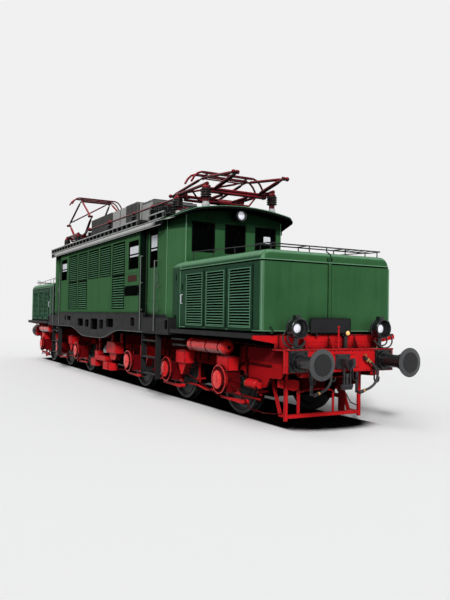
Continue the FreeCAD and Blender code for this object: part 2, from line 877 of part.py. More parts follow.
def make_wheelsets():
    """Six axles, each one piece with its two wheels; the front bogie's first."""
    # Half of the profile: along the axle, radius.
    half = [
        ("journal_end", "journal_radius"),
        ("wheel_outer_face + 60", "journal_radius"),
        ("wheel_outer_face + 60", 150),
        ("wheel_outer_face", 160),
        ("wheel_outer_face - 30", 200),
        ("wheel_outer_face - 50", 520),
        ("wheel_outer_face", 545),
        ("wheel_outer_face", "wheel_radius - 5"),
        ("wheel_outer_face - 8", "wheel_radius"),
        ("tread_inner_face", "wheel_radius"),
        ("tread_inner_face - 4", "flange_radius"),
        ("flange_inner_face + 4", "flange_radius"),
        ("flange_inner_face", "flange_radius - 12"),
        ("flange_inner_face", 545),
        ("flange_inner_face + 50", 520),
        ("flange_inner_face + 30", 200),
        ("flange_inner_face", 160),
        ("flange_inner_face", "axle_radius"),
    ]
    opposite = [("-(%s)" % along, radius) for along, radius in reversed(half)]
    rows = [("journal_end", 0)] + half + opposite + [("-journal_end", 0)]
    for end, sign in (("front", ""), ("rear", "-")):
        for number, shift in ((1, "+ axle_pitch"), (2, ""), (3, "- axle_pitch")):
            name = "%s_wheelset_%d" % (end, number)
            centre = "%s(pivot_place %s)" % (sign, shift)
            named(turned(name + "_body", "Y", rows, centre, 0, "wheel_radius"), name)


def both_ends(piece, part_name):
    """Name a front bogie's piece and make the rear bogie's mirror image of it."""
    named(piece, "front_" + part_name)
    named(mirror("rear_" + part_name + "_image", piece, (1, 0, 0)), "rear_" + part_name)


AXLES = ("pivot_place + axle_pitch", "pivot_place", "pivot_place - axle_pitch")


def axlebox_pieces():
    """A cast box and a stepped round cover over the end of each axle, on the left."""
    pieces = []
    for index, axle in enumerate(AXLES):
        width = ("%s - 195" % axle, "%s + 195" % axle)
        guide = box(
            "axlebox_guide_%d" % index,
            width,
            ("plate_inner", "plate_outer + 25"),
            ("wheel_radius - 210", "wheel_radius + 250"),
        )
        block = box(
            "axlebox_block_%d" % index,
            width,
            ("plate_outer", "box_face"),
            ("wheel_radius - 210", "wheel_radius + 155"),
        )
        cover = turned(
            "axlebox_cover_%d" % index,
            "Y",
            [(0, 0), (0, "cover_radius"), (45, "cover_radius"), (45, 190), (80, 180), (80, 0)],
            axle,
            "box_face",
            "wheel_radius",
        )
        bore = rod(
            "axlebox_bore_%d" % index,
            "Y",
            (axle, "plate_inner - 20", "wheel_radius"),
            "journal_end + 5 - plate_inner + 20",
            "journal_radius + running_gap",
        )
        blank = fuse("axlebox_blank_%d" % index, [guide, block, cover])
        pieces.append(cut("axlebox_%d" % index, blank, [bore]))
    return pieces


def make_bogie_frame():
    """Two side plates with their axle boxes, cross members and the pivot bolster."""
    side = plate(
        "side_plate",
        "Y",
        [
            (1250, "plate_low + 60"),
            (7200, "plate_low"),
            (7450, 560),
            (7640, 525),
            (7930, 585),
            (8040, 745),
            (8360, 757),
            (8480, "beam_low + 20"),
            ("beam_face - 65", "beam_low + 20"),
            ("beam_face - 65", "beam_high - 20"),
            (8280, "beam_high - 20"),
            (8200, "plate_high"),
            (1250, "plate_high"),
        ],
        "plate_inner",
        "plate_outer",
    )
    slots = [
        box(
            "axle_slot_%d" % index,
            ("%s - 190" % axle, "%s + 190" % axle),
            ("plate_inner - 10", "plate_outer + 10"),
            (300, "wheel_radius + 245"),
        )
        for index, axle in enumerate(AXLES)
    ]
    side = cut("slotted_side_plate", side, slots)
    across = ("-plate_inner - 5", "plate_inner + 5")
    inside = (-640, 640)
    pieces = [
        side,
        mirror("slotted_side_plate_right", side, (0, 1, 0)),
        box("rear_stretcher", (1250, 1310), across, (880, "plate_high - 20")),
        box("stretcher_3_2", (3350, 3450), across, (900, "plate_high")),
        box("stretcher_2_1", (5650, 5750), across, (900, "plate_high")),
        box("front_stretcher", (7620, 7720), across, (700, "plate_high")),
        box("bolster_plate", (4300, 4800), across, ("plate_high - 5", "frame_low - 35")),
        box("bolster_well", (4300, 4800), inside, (1060, "plate_high")),
        box("deck_support_left", (5650, 8250), (700, 760), (1180, "deck_low")),
        box("deck_support_right", (5650, 8250), (-760, -700), (1180, "deck_low")),
    ]
    weldment = fuse("bogie_weldment", pieces)
    bore = rod("pivot_bore", "Z", ("pivot_place", 0, 1000), 400, "120 + running_gap")
    axle_notch = [
        rod("notch_%d_%d" % (index, side_sign), "Y", (axle, low, "wheel_radius"), 160, "flange_radius + 14")
        for index, axle in enumerate(AXLES)
        for side_sign, low in ((0, 670), (1, -830))
    ]
    bare = cut("bogie_frame_cut", weldment, [bore] + axle_notch)
    boxes = axlebox_pieces()
    images = [mirror(piece.Name + "_right", piece, (0, 1, 0)) for piece in boxes]
    both_ends(fuse("bogie_frame_boxed", [bare] + boxes + images), "bogie_frame")


def make_deck():
    """The running board that the hood stands on."""
    top = box(
        "deck_plate",
        ("deck_rear", "deck_end"),
        ("-deck_half_width", "deck_half_width"),
        ("deck_low", "hood_low"),
    )
    both_ends(top, "running_board")


def hood_section(inset):
    """The arch across a hood, its skin's outer line or one that lies inside it."""
    half, radius = "hood_half_width - %s" % inset, "hood_edge_radius - %s" % inset
    flat, top = "hood_half_width - hood_edge_radius", "hood_shoulder + hood_edge_radius - %s" % inset
    return [
        ("-(%s)" % half, "hood_low"),
        (half, "hood_low"),
        (half, "hood_shoulder", radius, 1),
        (flat, top),
        ("-(%s)" % flat, top, radius, 1),
        ("-(%s)" % half, "hood_shoulder"),
    ]


# Louvred hatches of a hood: rear edge, front edge.
HATCHES = [(5610, 6370), (6450, 7200), (7290, 8070)]
HATCH_FRAME = 50


def make_hood():
    """A bonnet of sheet metal, open below and behind, cut out around the cab."""
    body = plate("hood_blank", "X", hood_section("0"), "hood_rear", "hood_face")
    doc.recompute()
    edges = []
    face_place = value("hood_face")
    for number, edge in enumerate(body.Shape.Edges, start=1):
        box_of_edge = edge.BoundBox
        if box_of_edge.XMin > face_place - 1 and box_of_edge.ZMax > value("hood_low + rail_top") + 10:
            edges.append("Edge%d" % number)
    pad = body.Tip
    rounded = body.newObject("PartDesign::Fillet", "hood_front_rounding")
    rounded.Base = (pad, edges)
    rounded.Radius = 90
    inside = plate(
        "hood_inside", "X", hood_section("hood_skin"), "hood_rear - 10", "hood_face - hood_skin - 15"
    )
    gap = "cab_clearance"
    cab_plan = plate(
        "hood_cab_space",
        "Z",
        [
            ("hood_rear - 50", "-door_plane"),
            ("cab_face + " + gap, "-cab_half_width - " + gap),
            ("cab_face + " + gap, "cab_half_width + " + gap),
            ("hood_rear - 50", "door_plane"),
        ],
        "hood_low - 50",
        "hood_shoulder + hood_edge_radius + 50",
    )
    notch = box(
        "hood_notch",
        ("hood_rear - 10", "deck_rear"),
        ("-hood_half_width - 10", "hood_half_width + 10"),
        ("hood_low - 10", "floor_low + 65"),
    )
    recesses = [
        box(
            "hatch_recess_%d" % index,
            (rear + HATCH_FRAME, front - HATCH_FRAME),
            ("hood_half_width - 25", "hood_half_width + 10"),
            (1520 + HATCH_FRAME, 2575 - HATCH_FRAME),
        )
        for index, (rear, front) in enumerate(HATCHES)
    ]
    both = both_sides("hatch_recesses", group("left_hatch_recesses", recesses))
    both_ends(cut("hood_shell", body, [inside, cab_plan, notch, both]), "hood")


def make_louvre_doors():
    """Three louvred hatches on each side of a hood, with their hinge barrels."""
    pieces = []
    for index, (rear, front) in enumerate(HATCHES):
        parts = [
            box(
                "hatch_leaf_%d" % index,
                (rear, front),
                ("hood_half_width", "hood_half_width + 14"),
                (1520, 2575),
            )
        ]
        for number, height in enumerate((1700, 2400)):
            parts.append(
                rod("hinge_%d_%d" % (index, number), "Z", (front, "hood_half_width + 12", height), 90, 11)
            )
        window = box(
            "hatch_opening_%d" % index,
            (rear + HATCH_FRAME, front - HATCH_FRAME),
            ("hood_half_width - 5", "hood_half_width + 40"),
            (1520 + HATCH_FRAME, 2575 - HATCH_FRAME),
        )
        pieces.append(cut("hatch_%d" % index, fuse("hatch_blank_%d" % index, parts), [window]))
    both_ends(both_sides("hatches", group("left_hatches", pieces)), "louvre_doors")


def make_beam():
    """The buffer beam with its top flange, gussets, end sheet and the rail guard."""
    half = "beam_half_width"
    gusset = plate(
        "gusset",
        "X",
        [
            (860, 1223), (1060, 1223), (1060, 1316), ("deck_half_width", 1385), ("deck_half_width", 1452),
            (860, 1452),
        ],
        "deck_end",
        "deck_end + 20",
    )
    pieces = [
        box("beam_plate", ("beam_face - 65", "beam_face"), ("-" + half, half), ("beam_low", "beam_high")),
        box("beam_flange", ("deck_end", "beam_face"), ("-" + half, half), ("beam_high - 20", "beam_high")),
        gusset,
        mirror("gusset_right", gusset, (0, 1, 0)),
        box("end_sheet", ("deck_end", "deck_end + 30"), (-1000, 1000), (1225, 1452)),
        box("guard_bar", (8180, 8220), (-760, 760), (100, 165)),
    ]
    for side in (-1, 1):
        name = "left" if side > 0 else "right"
        low, high = sorted((side * 735, side * 795))
        pieces.append(box("guard_post_" + name, (8180, 8220), (low, high), (60, 900)))
        low, high = sorted((side * 700, side * 930))
        pieces.append(box("guard_arm_" + name, (8150, 8250), (low, high), (860, 930)))
        pieces.append(box("guard_foot_" + name, (8150, "beam_face - 30"), sorted((side * 700, side * 740)),
                          (880, 1000)))
    for side in (-1, 1):
        name = "left" if side > 0 else "right"
        low, high = sorted((side * 705, side * 735))
        brace = plate(
            "guard_brace_" + name,
            "Y",
            [(7720, 640), (7960, 100), (8200, 100), (8200, 160), (8010, 160), (7760, 720), (7720, 720)],
            low,
            high,
        )
        pieces.append(brace)
    both_ends(fuse("beam_weldment", pieces), "buffer_beam")


def make_buffers():
    """Two buffers: base plate, barrel, plunger and round head."""
    profile = [
        ("0", 0), ("0", 140), (45, 140), (60, 105), (430, 105), (430, 118), (530, 118),
        (560, 130), (590, 228), (608, 235),
        ("buffer_face - beam_face", 150), ("buffer_face - beam_face", 0),
    ]
    barrel = turned("buffer_turning", "X", profile, "beam_face", "buffer_place", "buffer_height")
    base = box(
        "buffer_base",
        ("beam_face", "beam_face + 30"),
        ("buffer_place - 175", "buffer_place + 175"),
        ("buffer_height - 158", "buffer_height + 174"),
    )
    both_ends(both_sides("buffers", fuse("buffer", [barrel, base])), "buffers")


# Brake hoses of the front bogie, each a route of X, Y and height above the rail.
HOSE_RADIUS = 21
HOSES = [
    (
        "left",
        [
            (8735, 510, 1045),
            (8762, 589, 988),
            (8784, 638, 903),
            (8795, 648, 805),
            (8793, 618, 712),
            (8783, 553, 639),
            (8768, 466, 593),
            (8752, 373, 561),
        ],
    ),
    (
        "right",
        [
            (8735, -440, 1045),
            (8764, -372, 981),
            (8786, -330, 898),
            (8797, -318, 806),
            (8795, -338, 716),
            (8785, -388, 639),
            (8770, -462, 585),
            (8755, -545, 556),
        ],
    ),
]


def make_drawgear():
    """Draw hook and screw coupling, hanging at rest."""
    hook = plate(
        "hook_plate",
        "Y",
        [
            ("beam_face", 1000), (8800, 995), (8850, 940), (8930, 950), (8975, 1020), (8960, 1110),
            (8925, 1110), (8925, 1040), (8890, 1015), (8850, 1050), (8800, 1085), ("beam_face", 1085),
        ],
        -28,
        28,
    )
    pieces = [
        hook,
        box("hook_base", ("beam_face", "beam_face + 25"), (-150, 150), (930, 1160)),
        rod("hook_collar", "X", (8835, 0, 1010), 50, 84),
        rod("shackle_pin", "Y", (8790, -75, 1035), 150, 22),
        box("shackle_left", (8772, 8808), (52, 74), (650, 1050)),
        box("shackle_right", (8772, 8808), (-74, -52), (650, 1050)),
        rod("screw_nut", "Y", (8790, -110, 660), 220, 30),
        rod("screw", "Z", (8790, 0, 640), 200, 22),
        rod("screw_collar", "Z", (8790, 0, 800), 60, 34),
        box("link_left", (8775, 8805), (80, 105), (620, 690)),
        box("link_right", (8775, 8805), (-105, -80), (620, 690)),
        rod("link_bow", "Y", (8790, -105, 620), 210, 20),
    ]
    fittings = [fuse("screw_coupling", pieces)]
    for side, route in HOSES:
        points = hose_points(route)
        cock_run = (points[1] - points[0]).normalize()
        end_run = (points[-1] - points[-2]).normalize()
        bend = points[0] - cock_run * 60
        face = FreeCAD.Vector(value("beam_face"), bend.y, bend.z)
        cock = [
            tube_between(face, bend + FreeCAD.Vector(10, 0, 0), 30),
            tube_between(bend - cock_run * 10, points[0], HOSE_RADIUS + 6),
        ]
        fittings.append(solid("hose_cock_" + side, welded(cock)))
        hang = points[-1] + end_run * 45
        reach = hang.x - value("beam_face") + 35
        holder = [
            tube_between(points[-1], points[-1] + end_run * 75, HOSE_RADIUS + 8),
            Part.makeBox(25, 44, value("beam_low + rail_top") - hang.z + 20,
                         FreeCAD.Vector(value("beam_face") - 35, hang.y - 22, hang.z - 20)),
            Part.makeBox(reach, 44, 30, FreeCAD.Vector(value("beam_face") - 35, hang.y - 22, hang.z - 20)),
        ]
        fittings.append(solid("hose_holder_" + side, welded(holder)))
    both_ends(group("drawgear_set", fittings), "drawgear")


def hose_points(route):
    return [FreeCAD.Vector(x, y, z + value("rail_top")) for x, y, z in route]


def hose_path(points):
    """Straight runs joined by tangent arcs, each as large as its two runs allow."""
    edges, radii, start = [], [], points[0]
    for before, corner, after in zip(points, points[1:], points[2:]):
        arrive, leave = (corner - before), (after - corner)
        shorter = min(arrive.Length, leave.Length)
        turn = arrive.getAngle(leave)
        arrive.normalize()
        leave.normalize()
        trim = 0.45 * shorter
        radii.append(trim / math.tan(turn / 2))
        enter, out = corner - arrive * trim, corner + leave * trim
        bisector = (leave - arrive).normalize()
        centre = corner + bisector * (radii[-1] / math.cos(turn / 2))
        middle = centre - bisector * radii[-1]
        edges.append(Part.LineSegment(start, enter).toShape())
        edges.append(Part.Arc(enter, middle, out).toShape())
        start = out
    edges.append(Part.LineSegment(start, points[-1]).toShape())
    return Part.Wire(edges), radii


def make_hoses():
    """The four brake hoses, from their cocks down and round to their holders."""
    for side, route in HOSES:
        points = hose_points(route)
        path, radii = hose_path(points)
        ring = Part.Wire(Part.makeCircle(HOSE_RADIUS, points[0], points[1] - points[0]))
        tube = path.makePipeShell([ring], True, False)
        section = math.pi * HOSE_RADIUS ** 2
        print(side, "hose radii", [round(radius) for radius in radii], "length", round(path.Length))
        print("volume over section times length", round(tube.Volume / (section * path.Length), 4))
        both_ends(solid(side + "_hose_tube", tube), side + "_brake_hose")


def make_sandboxes():
    """Square bins with a lid, a bracket and a hopper outside the frame plate."""
    pieces = []
    for index, centre in enumerate([6880, 5130, 3150]):
        width = (centre - 200, centre + 200)
        parts = [
            box("sand_bin_%d" % index, width, (1000, 1215), (790, 1035)),
            box("sand_bracket_%d" % index, width, ("plate_outer", 1005), (885, 1035)),
            box("sand_lid_%d" % index, (centre - 130, centre + 130), (1020, 1180), (1035, 1058)),
        ]
        if index > 0:
            hopper = plate(
                "sand_hopper_%d" % index,
                "Y",
                [(centre - 190, 790), (centre - 40, 560), (centre + 40, 560), (centre + 190, 790)],
                1040,
                1180,
            )
            parts.append(hopper)
        pieces.append(fuse("sandbox_%d" % index, parts))
    both_ends(both_sides("sandboxes", group("left_sandboxes", pieces)), "sandboxes")


def make_air_tanks():
    """A domed air tank along each side, under the running board."""
    tank = turned(
        "air_tank",
        "X",
        [(0, 0), (15, 80), (60, 132), (1420, 132), (1465, 80), (1480, 0)],
        5600,
        1200,
        1197,
    )
    parts = [tank]
    for index, place_along in enumerate((5840, 6430)):
        parts.append(
            box(
                "tank_strap_%d" % index,
                (place_along - 30, place_along + 30),
                ("plate_outer", 1200),
                (1180, 1210),
            )
        )
    both_ends(both_sides("air_tanks", fuse("tank_with_straps", parts)), "air_tanks")


def make_motors():
    """One plain block per axle at the traction motor's place."""
    blocks = [
        box("motor_%d" % index, ("%s - 900" % axle, "%s - 180" % axle), (-600, 600), (330, 1020))
        for index, axle in enumerate(AXLES)
    ]
    both_ends(group("motors", blocks), "traction_motors")


def make_headlamps():
    """Two round headlamps on posts above the buffer beam."""
    shell = turned(
        "lamp_shell",
        "X",
        [(0, 0), (0, 70), (35, 130), (75, 150), (215, 150), (215, 138), (105, 95), (105, 0)],
        8485,
        "lamp_place",
        "lamp_height",
    )
    post = rod("lamp_post", "Z", (8585, "lamp_place", "beam_high"), "lamp_height - 130 - beam_high", 42)
    foot = box(
        "lamp_foot",
        (8530, 8650),
        ("lamp_place - 60", "lamp_place + 60"),
        ("beam_high", "beam_high + 20"),
    )
    chimney = box(
        "lamp_chimney",
        (8560, 8650),
        ("lamp_place - 45", "lamp_place + 45"),
        ("lamp_height + 130", "lamp_height + 205"),
    )
    both_ends(both_sides("lamps", fuse("lamp", [shell, post, foot, chimney])), "headlamps")


# ------------------------------------------------------------------------ write


def make_all():
    core = make_roof()
    make_side_wall(core)
    make_cab_wall(core)
    make_bridge_frame()
    make_cab_doors()
    make_inside()
    make_steps()
    make_handrails()
    make_duct_bound()
    make_roof_gear()
    make_pantographs()
    make_wheelsets()
    make_bogie_frame()
    make_deck()
    make_hood()
    make_louvre_doors()
    make_beam()
    make_buffers()
    make_drawgear()
    make_hoses()
    make_sandboxes()
    make_air_tanks()
    make_motors()
    make_headlamps()
    doc.recompute()


def check_and_write():
    failed = [thing.Name for thing in doc.Objects if {"Invalid", "Error"} & set(thing.State)]
    if failed:
        raise RuntimeError("failed objects: " + ", ".join(failed))
    for node in NODES:
        if node.Shape.isNull() or not node.Shape.isValid():
            raise RuntimeError("bad shape: " + node.Label)
    os.makedirs("parts", exist_ok=True)
    for node in NODES:
        node.Shape.exportStep("parts/%s.step" % node.Label)
        print("%-40s %3d solids %12.0f cm3" % (node.Label, len(node.Shape.Solids), node.Shape.Volume / 1000))


make_all()
check_and_write()
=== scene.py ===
import bmesh
import bpy
import json
import math
from mathutils import Matrix, Vector


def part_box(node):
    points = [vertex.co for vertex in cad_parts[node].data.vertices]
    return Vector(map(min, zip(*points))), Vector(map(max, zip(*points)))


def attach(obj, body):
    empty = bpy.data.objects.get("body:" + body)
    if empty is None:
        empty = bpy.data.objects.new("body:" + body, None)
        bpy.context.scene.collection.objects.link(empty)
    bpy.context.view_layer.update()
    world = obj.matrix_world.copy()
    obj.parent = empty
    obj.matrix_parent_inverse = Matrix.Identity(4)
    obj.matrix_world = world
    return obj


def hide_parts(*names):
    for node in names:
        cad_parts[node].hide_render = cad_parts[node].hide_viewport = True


# Looks of a six-axle electric locomotive, in metres.  X is along it, Y is its left, Z is up.
# Heights given below are above the rail top, which lies one wheel flange above the floor.
# What is made for one end or one side is mirrored for the other.

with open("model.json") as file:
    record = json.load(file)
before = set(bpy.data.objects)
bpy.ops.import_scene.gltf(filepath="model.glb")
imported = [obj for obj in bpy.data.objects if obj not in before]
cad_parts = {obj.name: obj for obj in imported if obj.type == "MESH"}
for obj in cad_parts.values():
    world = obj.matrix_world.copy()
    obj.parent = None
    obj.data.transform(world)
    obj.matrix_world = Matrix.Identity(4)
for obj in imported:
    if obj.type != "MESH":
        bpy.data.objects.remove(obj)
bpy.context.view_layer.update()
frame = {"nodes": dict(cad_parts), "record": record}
scene = bpy.context.scene

RAIL = 0.028
SIDES = (-1, 1)
ENDS = (("front", 1), ("rear", -1))
FORWARD, LEFT, UP = (1, 0, 0), (0, 1, 0), (0, 0, 1)
# Outer faces: a long wall, a cab's front, a bonnet's side and front, the buffer beam.
WALL = 1.475
CAB = 5.164
HOOD = 1.343
HOOD_FRONT = 8.33
BEAM = 8.665
HOOD_TOP = 2.82
# Middles of the buffers and headlamps, of the axles, and of each pantograph.
BUFFER_SIDE, BUFFER_HEIGHT = 0.875, 1.05
LAMP_SIDE, LAMP_HEIGHT = 0.86, 1.57
AXLES = (6.85, 4.55, 2.25)
PANTOGRAPH = 4.66
WHEEL = 0.625
PALE = (0.875, 0.875, 0.88, 1)


def place(name, data):
    """A new object in the scene."""
    thing = bpy.data.objects.new(name, data)
    scene.collection.objects.link(thing)
    return thing


# -------- camera


def make_camera():
    """A camera low at the front right, tilted up a little and rolled a little."""
    spot = Vector((16.468, -6.515, 1.743 + RAIL))
    yaw, pitch, roll = math.radians(29.09), math.radians(1.49), math.radians(0.9)
    ahead = Vector((-math.cos(yaw) * math.cos(pitch), math.sin(yaw) * math.cos(pitch), math.sin(pitch)))
    right = ahead.cross(Vector(UP)).normalized()
    up = right.cross(ahead)
    across = right * math.cos(roll) + up * math.sin(roll)
    upward = up * math.cos(roll) - right * math.sin(roll)
    data = bpy.data.cameras.new("camera")
    data.lens = 37.12
    data.sensor_width = 36
    data.clip_end = 400
    camera = place("camera", data)
    turn = Matrix((across, upward, -ahead)).transposed().to_4x4()
    camera.matrix_world = Matrix.Translation(spot) @ turn
    scene.camera = camera


make_camera()


# -------- materials


def plug(tree, socket, wanted):
    """Gives an input a value or another node's socket."""
    if isinstance(wanted, bpy.types.NodeSocket):
        tree.links.new(wanted, socket)
    else:
        socket.default_value = wanted


def feed(tree, node, **inputs):
    """Gives several inputs theirs; a name has _ for each space."""
    for name, wanted in inputs.items():
        plug(tree, node.inputs[name.replace("_", " ")], wanted)


def add(tree, kind, *values, **settings):
    """A node: its inputs in order, then inputs by name (with a capital) and its own settings."""
    node = tree.nodes.new(kind)
    for name, wanted in settings.items():
        if name[0].isupper():
            feed(tree, node, **{name: wanted})
        else:
            setattr(node, name, wanted)
    for number, wanted in enumerate(values):
        plug(tree, node.inputs[number], wanted)
    return node


def empty_tree(owner, kind):
    """The cleared node tree of a material or world, and its output node."""
    owner.use_nodes = True
    owner.node_tree.nodes.clear()
    return owner.node_tree, owner.node_tree.nodes.new(kind)


def shader_tree(name):
    """A new material with a Principled shader, its tree, and the place on the object."""
    material = bpy.data.materials.new(name)
    tree, output = empty_tree(material, "ShaderNodeOutputMaterial")
    shader = tree.nodes.new("ShaderNodeBsdfPrincipled")
    feed(tree, output, Surface=shader.outputs["BSDF"])
    return material, tree, shader, add(tree, "ShaderNodeTexCoord").outputs["Object"]


def noise(tree, where, scale, detail=4):
    node = add(tree, "ShaderNodeTexNoise", Vector=where, Scale=scale, Detail=detail, Roughness=0.6)
    return node.outputs["Fac"]


def ramp(tree, value, low, high, dark=0.0, bright=1.0):
    """A value stretched so that low gives dark and high gives bright."""
    return add(tree, "ShaderNodeMapRange", Value=value, From_Min=low, From_Max=high, To_Min=dark,
               To_Max=bright).outputs["Result"]


def mix(tree, factor, first, second):
    """Two colours mixed; each is a socket or a red, green and blue."""
    node = tree.nodes.new("ShaderNodeMix")
    node.data_type = "RGBA"
    plug(tree, node.inputs[0], factor)
    for socket, wanted in ((node.inputs[6], first), (node.inputs[7], second)):
        plug(tree, socket, (*wanted, 1) if isinstance(wanted, tuple) else wanted)
    return node.outputs[2]


def calc(tree, operation, *values):
    return add(tree, "ShaderNodeMath", *values, operation=operation).outputs[0]


def times(tree, first, second):
    return calc(tree, "MULTIPLY", first, second)


def part_of(tree, vector, axis):
    return add(tree, "ShaderNodeSeparateXYZ", Vector=vector).outputs[axis]


def normal_of(tree):
    return add(tree, "ShaderNodeNewGeometry").outputs["Normal"]


def dot(tree, first, second):
    return add(tree, "ShaderNodeVectorMath", first, second, operation="DOT_PRODUCT").outputs["Value"]


def length_of(tree, vector):
    return add(tree, "ShaderNodeVectorMath", vector, operation="LENGTH").outputs["Value"]


def openness(tree, samples, reach):
    """1 in the open, less in corners."""
    return add(tree, "ShaderNodeAmbientOcclusion", samples=samples, Distance=reach).outputs["AO"]


def stretched(tree, where, along):
    """The same place scaled by a factor along each axis."""
    return add(tree, "ShaderNodeMapping", Vector=where, Scale=along).outputs["Vector"]


def relief(tree, shader, height, strength, distance):
    """A bumpy surface."""
    bump = add(tree, "ShaderNodeBump", Height=height, Strength=strength, Distance=distance)
    feed(tree, shader, Normal=bump.outputs["Normal"])


def painted(name, color, roughness=0.48, corner_shade=0.55, dirt_and_shade_color=(0.004, 0.004, 0.004), streaks=0.2, reach=0.22,
            line=0.012, line_depth=0.8, wear=(0.30, 0.29, 0.27), wear_depth=0.25, metallic=0.0, specular=0.05,
            deep=(0.25, 0.90), below=0.0, zones=None):
    """Old paint: cloudy fading, rain streaks, painted shade in the corners and, where asked, on faces turned down,
    dark lines along the edges, a few chips.

    zones(tree, where, color socket) may return another color socket, for stripes, panels and painted light and
    shade.
    """
    material, tree, shader, where = shader_tree(name)
    lighter = tuple(min(1, c * 1.10 + 0.002) for c in color)
    darker = tuple(c * 0.88 for c in color)
    base = mix(tree, ramp(tree, noise(tree, where, 1.3, 5), 0.3, 0.7), darker, lighter)
    if zones:
        base = zones(tree, where, base)
    rain = ramp(tree, noise(tree, stretched(tree, where, (9, 9, 0.7)), 1.0, 3), 0.5, 0.78, 0.0, streaks)
    base = mix(tree, rain, base, dirt_and_shade_color)
    # Painted shade: darker, towards near black, where corners and nearby parts close in.
    base = mix(tree, ramp(tree, openness(tree, 6, reach), *deep, corner_shade, 0.0), base, dirt_and_shade_color)
    round_edge = add(tree, "ShaderNodeBevel", samples=4, Radius=line).outputs["Normal"]
    flat = normal_of(tree)
    edge = ramp(tree, dot(tree, round_edge, flat), 0.99, 0.90)
    base = mix(tree, times(tree, edge, line_depth), base, dirt_and_shade_color)
    # Painted shade: faces turned down go dark, as far as below asks.
    if below:
        base = mix(tree, ramp(tree, part_of(tree, flat, "Z"), -0.15, -0.60, 0.0, below), base, dirt_and_shade_color)
    chips = ramp(tree, noise(tree, where, 26), 0.52, 0.66, 0.0, wear_depth)
    base = mix(tree, times(tree, edge, chips), base, wear)
    grain = ramp(tree, noise(tree, where, 7), 0.25, 0.75, roughness - 0.09, roughness + 0.12)
    feed(tree, shader, Base_Color=base, Roughness=grain, Metallic=metallic, Specular_IOR_Level=specular)
    relief(tree, shader, noise(tree, where, 34), 0.35, 0.0006)
    return material


def metal(name, color, roughness=0.38, amount=0.4, metallic=0.85):
    """Bare steel or brass with brown stains and a brushed sheen."""
    material, tree, shader, where = shader_tree(name)
    base = mix(tree, ramp(tree, noise(tree, where, 5, 5), 0.42, 0.72, 0.0, amount), color, (0.05, 0.035, 0.025))
    base = mix(tree, ramp(tree, openness(tree, 4, 0.06), 0.2, 0.9, 0.6, 0.0), base, (0.01, 0.009, 0.008))
    brushed = noise(tree, stretched(tree, where, (4, 60, 60)), 1.0, 3)
    sheen = ramp(tree, brushed, 0.2, 0.8, roughness - 0.1, roughness + 0.15)
    feed(tree, shader, Base_Color=base, Roughness=sheen, Metallic=metallic)
    relief(tree, shader, noise(tree, where, 60), 0.3, 0.0005)
    return material


def rubber(name):
    """Woven rubber hose, with fine ribs and pale dust."""
    material, tree, shader, where = shader_tree(name)
    dust = ramp(tree, noise(tree, where, 9), 0.45, 0.75, 0.0, 0.35)
    base = mix(tree, dust, (0.018, 0.018, 0.02), (0.09, 0.085, 0.08))
    feed(tree, shader, Base_Color=base, Roughness=0.6)
    weave = add(tree, "ShaderNodeTexWave", Vector=where, Scale=220.0, Distortion=1.5)
    relief(tree, shader, weave.outputs["Fac"], 0.25, 0.0008)
    return material


def glass(name):
    """A dark pane: nearly black, with faint dust."""
    material, tree, shader, where = shader_tree(name)
    dust = ramp(tree, noise(tree, stretched(tree, where, (2, 2, 1)), 3, 5), 0.5, 0.8, 0.0, 0.02)
    base = mix(tree, dust, (0.001, 0.0012, 0.0012), (0.08, 0.085, 0.08))
    sheen = ramp(tree, noise(tree, where, 5, 3), 0.3, 0.7, 0.25, 0.37)
    feed(tree, shader, Base_Color=base, Roughness=sheen, Specular_IOR_Level=0.0)
    return material


def glowing(name, color, strength):
    """A lamp's lens: pale glass with fine fluting and a little light of its own."""
    material, tree, shader, where = shader_tree(name)
    flutes = add(tree, "ShaderNodeTexWave", Vector=where, Scale=30.0, bands_direction="Y").outputs["Fac"]
    base = mix(tree, ramp(tree, flutes, 0, 1, 0.0, 0.2), color, tuple(c * 0.7 for c in color))
    feed(tree, shader, Base_Color=base, Emission_Color=base, Emission_Strength=strength, Roughness=0.25)
    relief(tree, shader, flutes, 0.4, 0.003)
    return material


# What zones() are made of: factors from 0 to 1 for a place on the object.


def band(tree, where, axis, low, high):
    """1 between two places along an axis and 0 outside."""
    soft = 0.004
    place_on = part_of(tree, where, axis)
    rise = ramp(tree, place_on, low - soft, low + soft)
    return times(tree, rise, ramp(tree, place_on, high - soft, high + soft, 1.0, 0.0))


def height_part(tree, where, low, high):
    """0 below one height, 1 above another."""
    return ramp(tree, part_of(tree, where, "Z"), low + RAIL, high + RAIL)


def size_along(tree, where, axis):
    """Distance from the middle along an axis."""
    return calc(tree, "ABSOLUTE", part_of(tree, where, axis))


def roof_zones(tree, where, base):
    """A silver-grey stripe along the gutter under the dark roof, lighter towards its top as a painted sheen, and a
    pale painted highlight along its top edge, which alone goes on beside the cabs.
    """
    stripe = band(tree, where, "Z", 3.640 + RAIL, 3.735 + RAIL)
    stripe = times(tree, stripe, ramp(tree, size_along(tree, where, "X"), 4.10, 4.40, 1.0, 0.0))
    shine = mix(tree, height_part(tree, where, 3.64, 3.72), (0.30, 0.31, 0.30), (0.74, 0.74, 0.72))
    base = mix(tree, stripe, base, shine)
    # Painted highlight: a pale line along the stripe's top edge, also beside the cabs.
    return mix(tree, band(tree, where, "Z", 3.712 + RAIL, 3.735 + RAIL), base, (0.60, 0.61, 0.59))


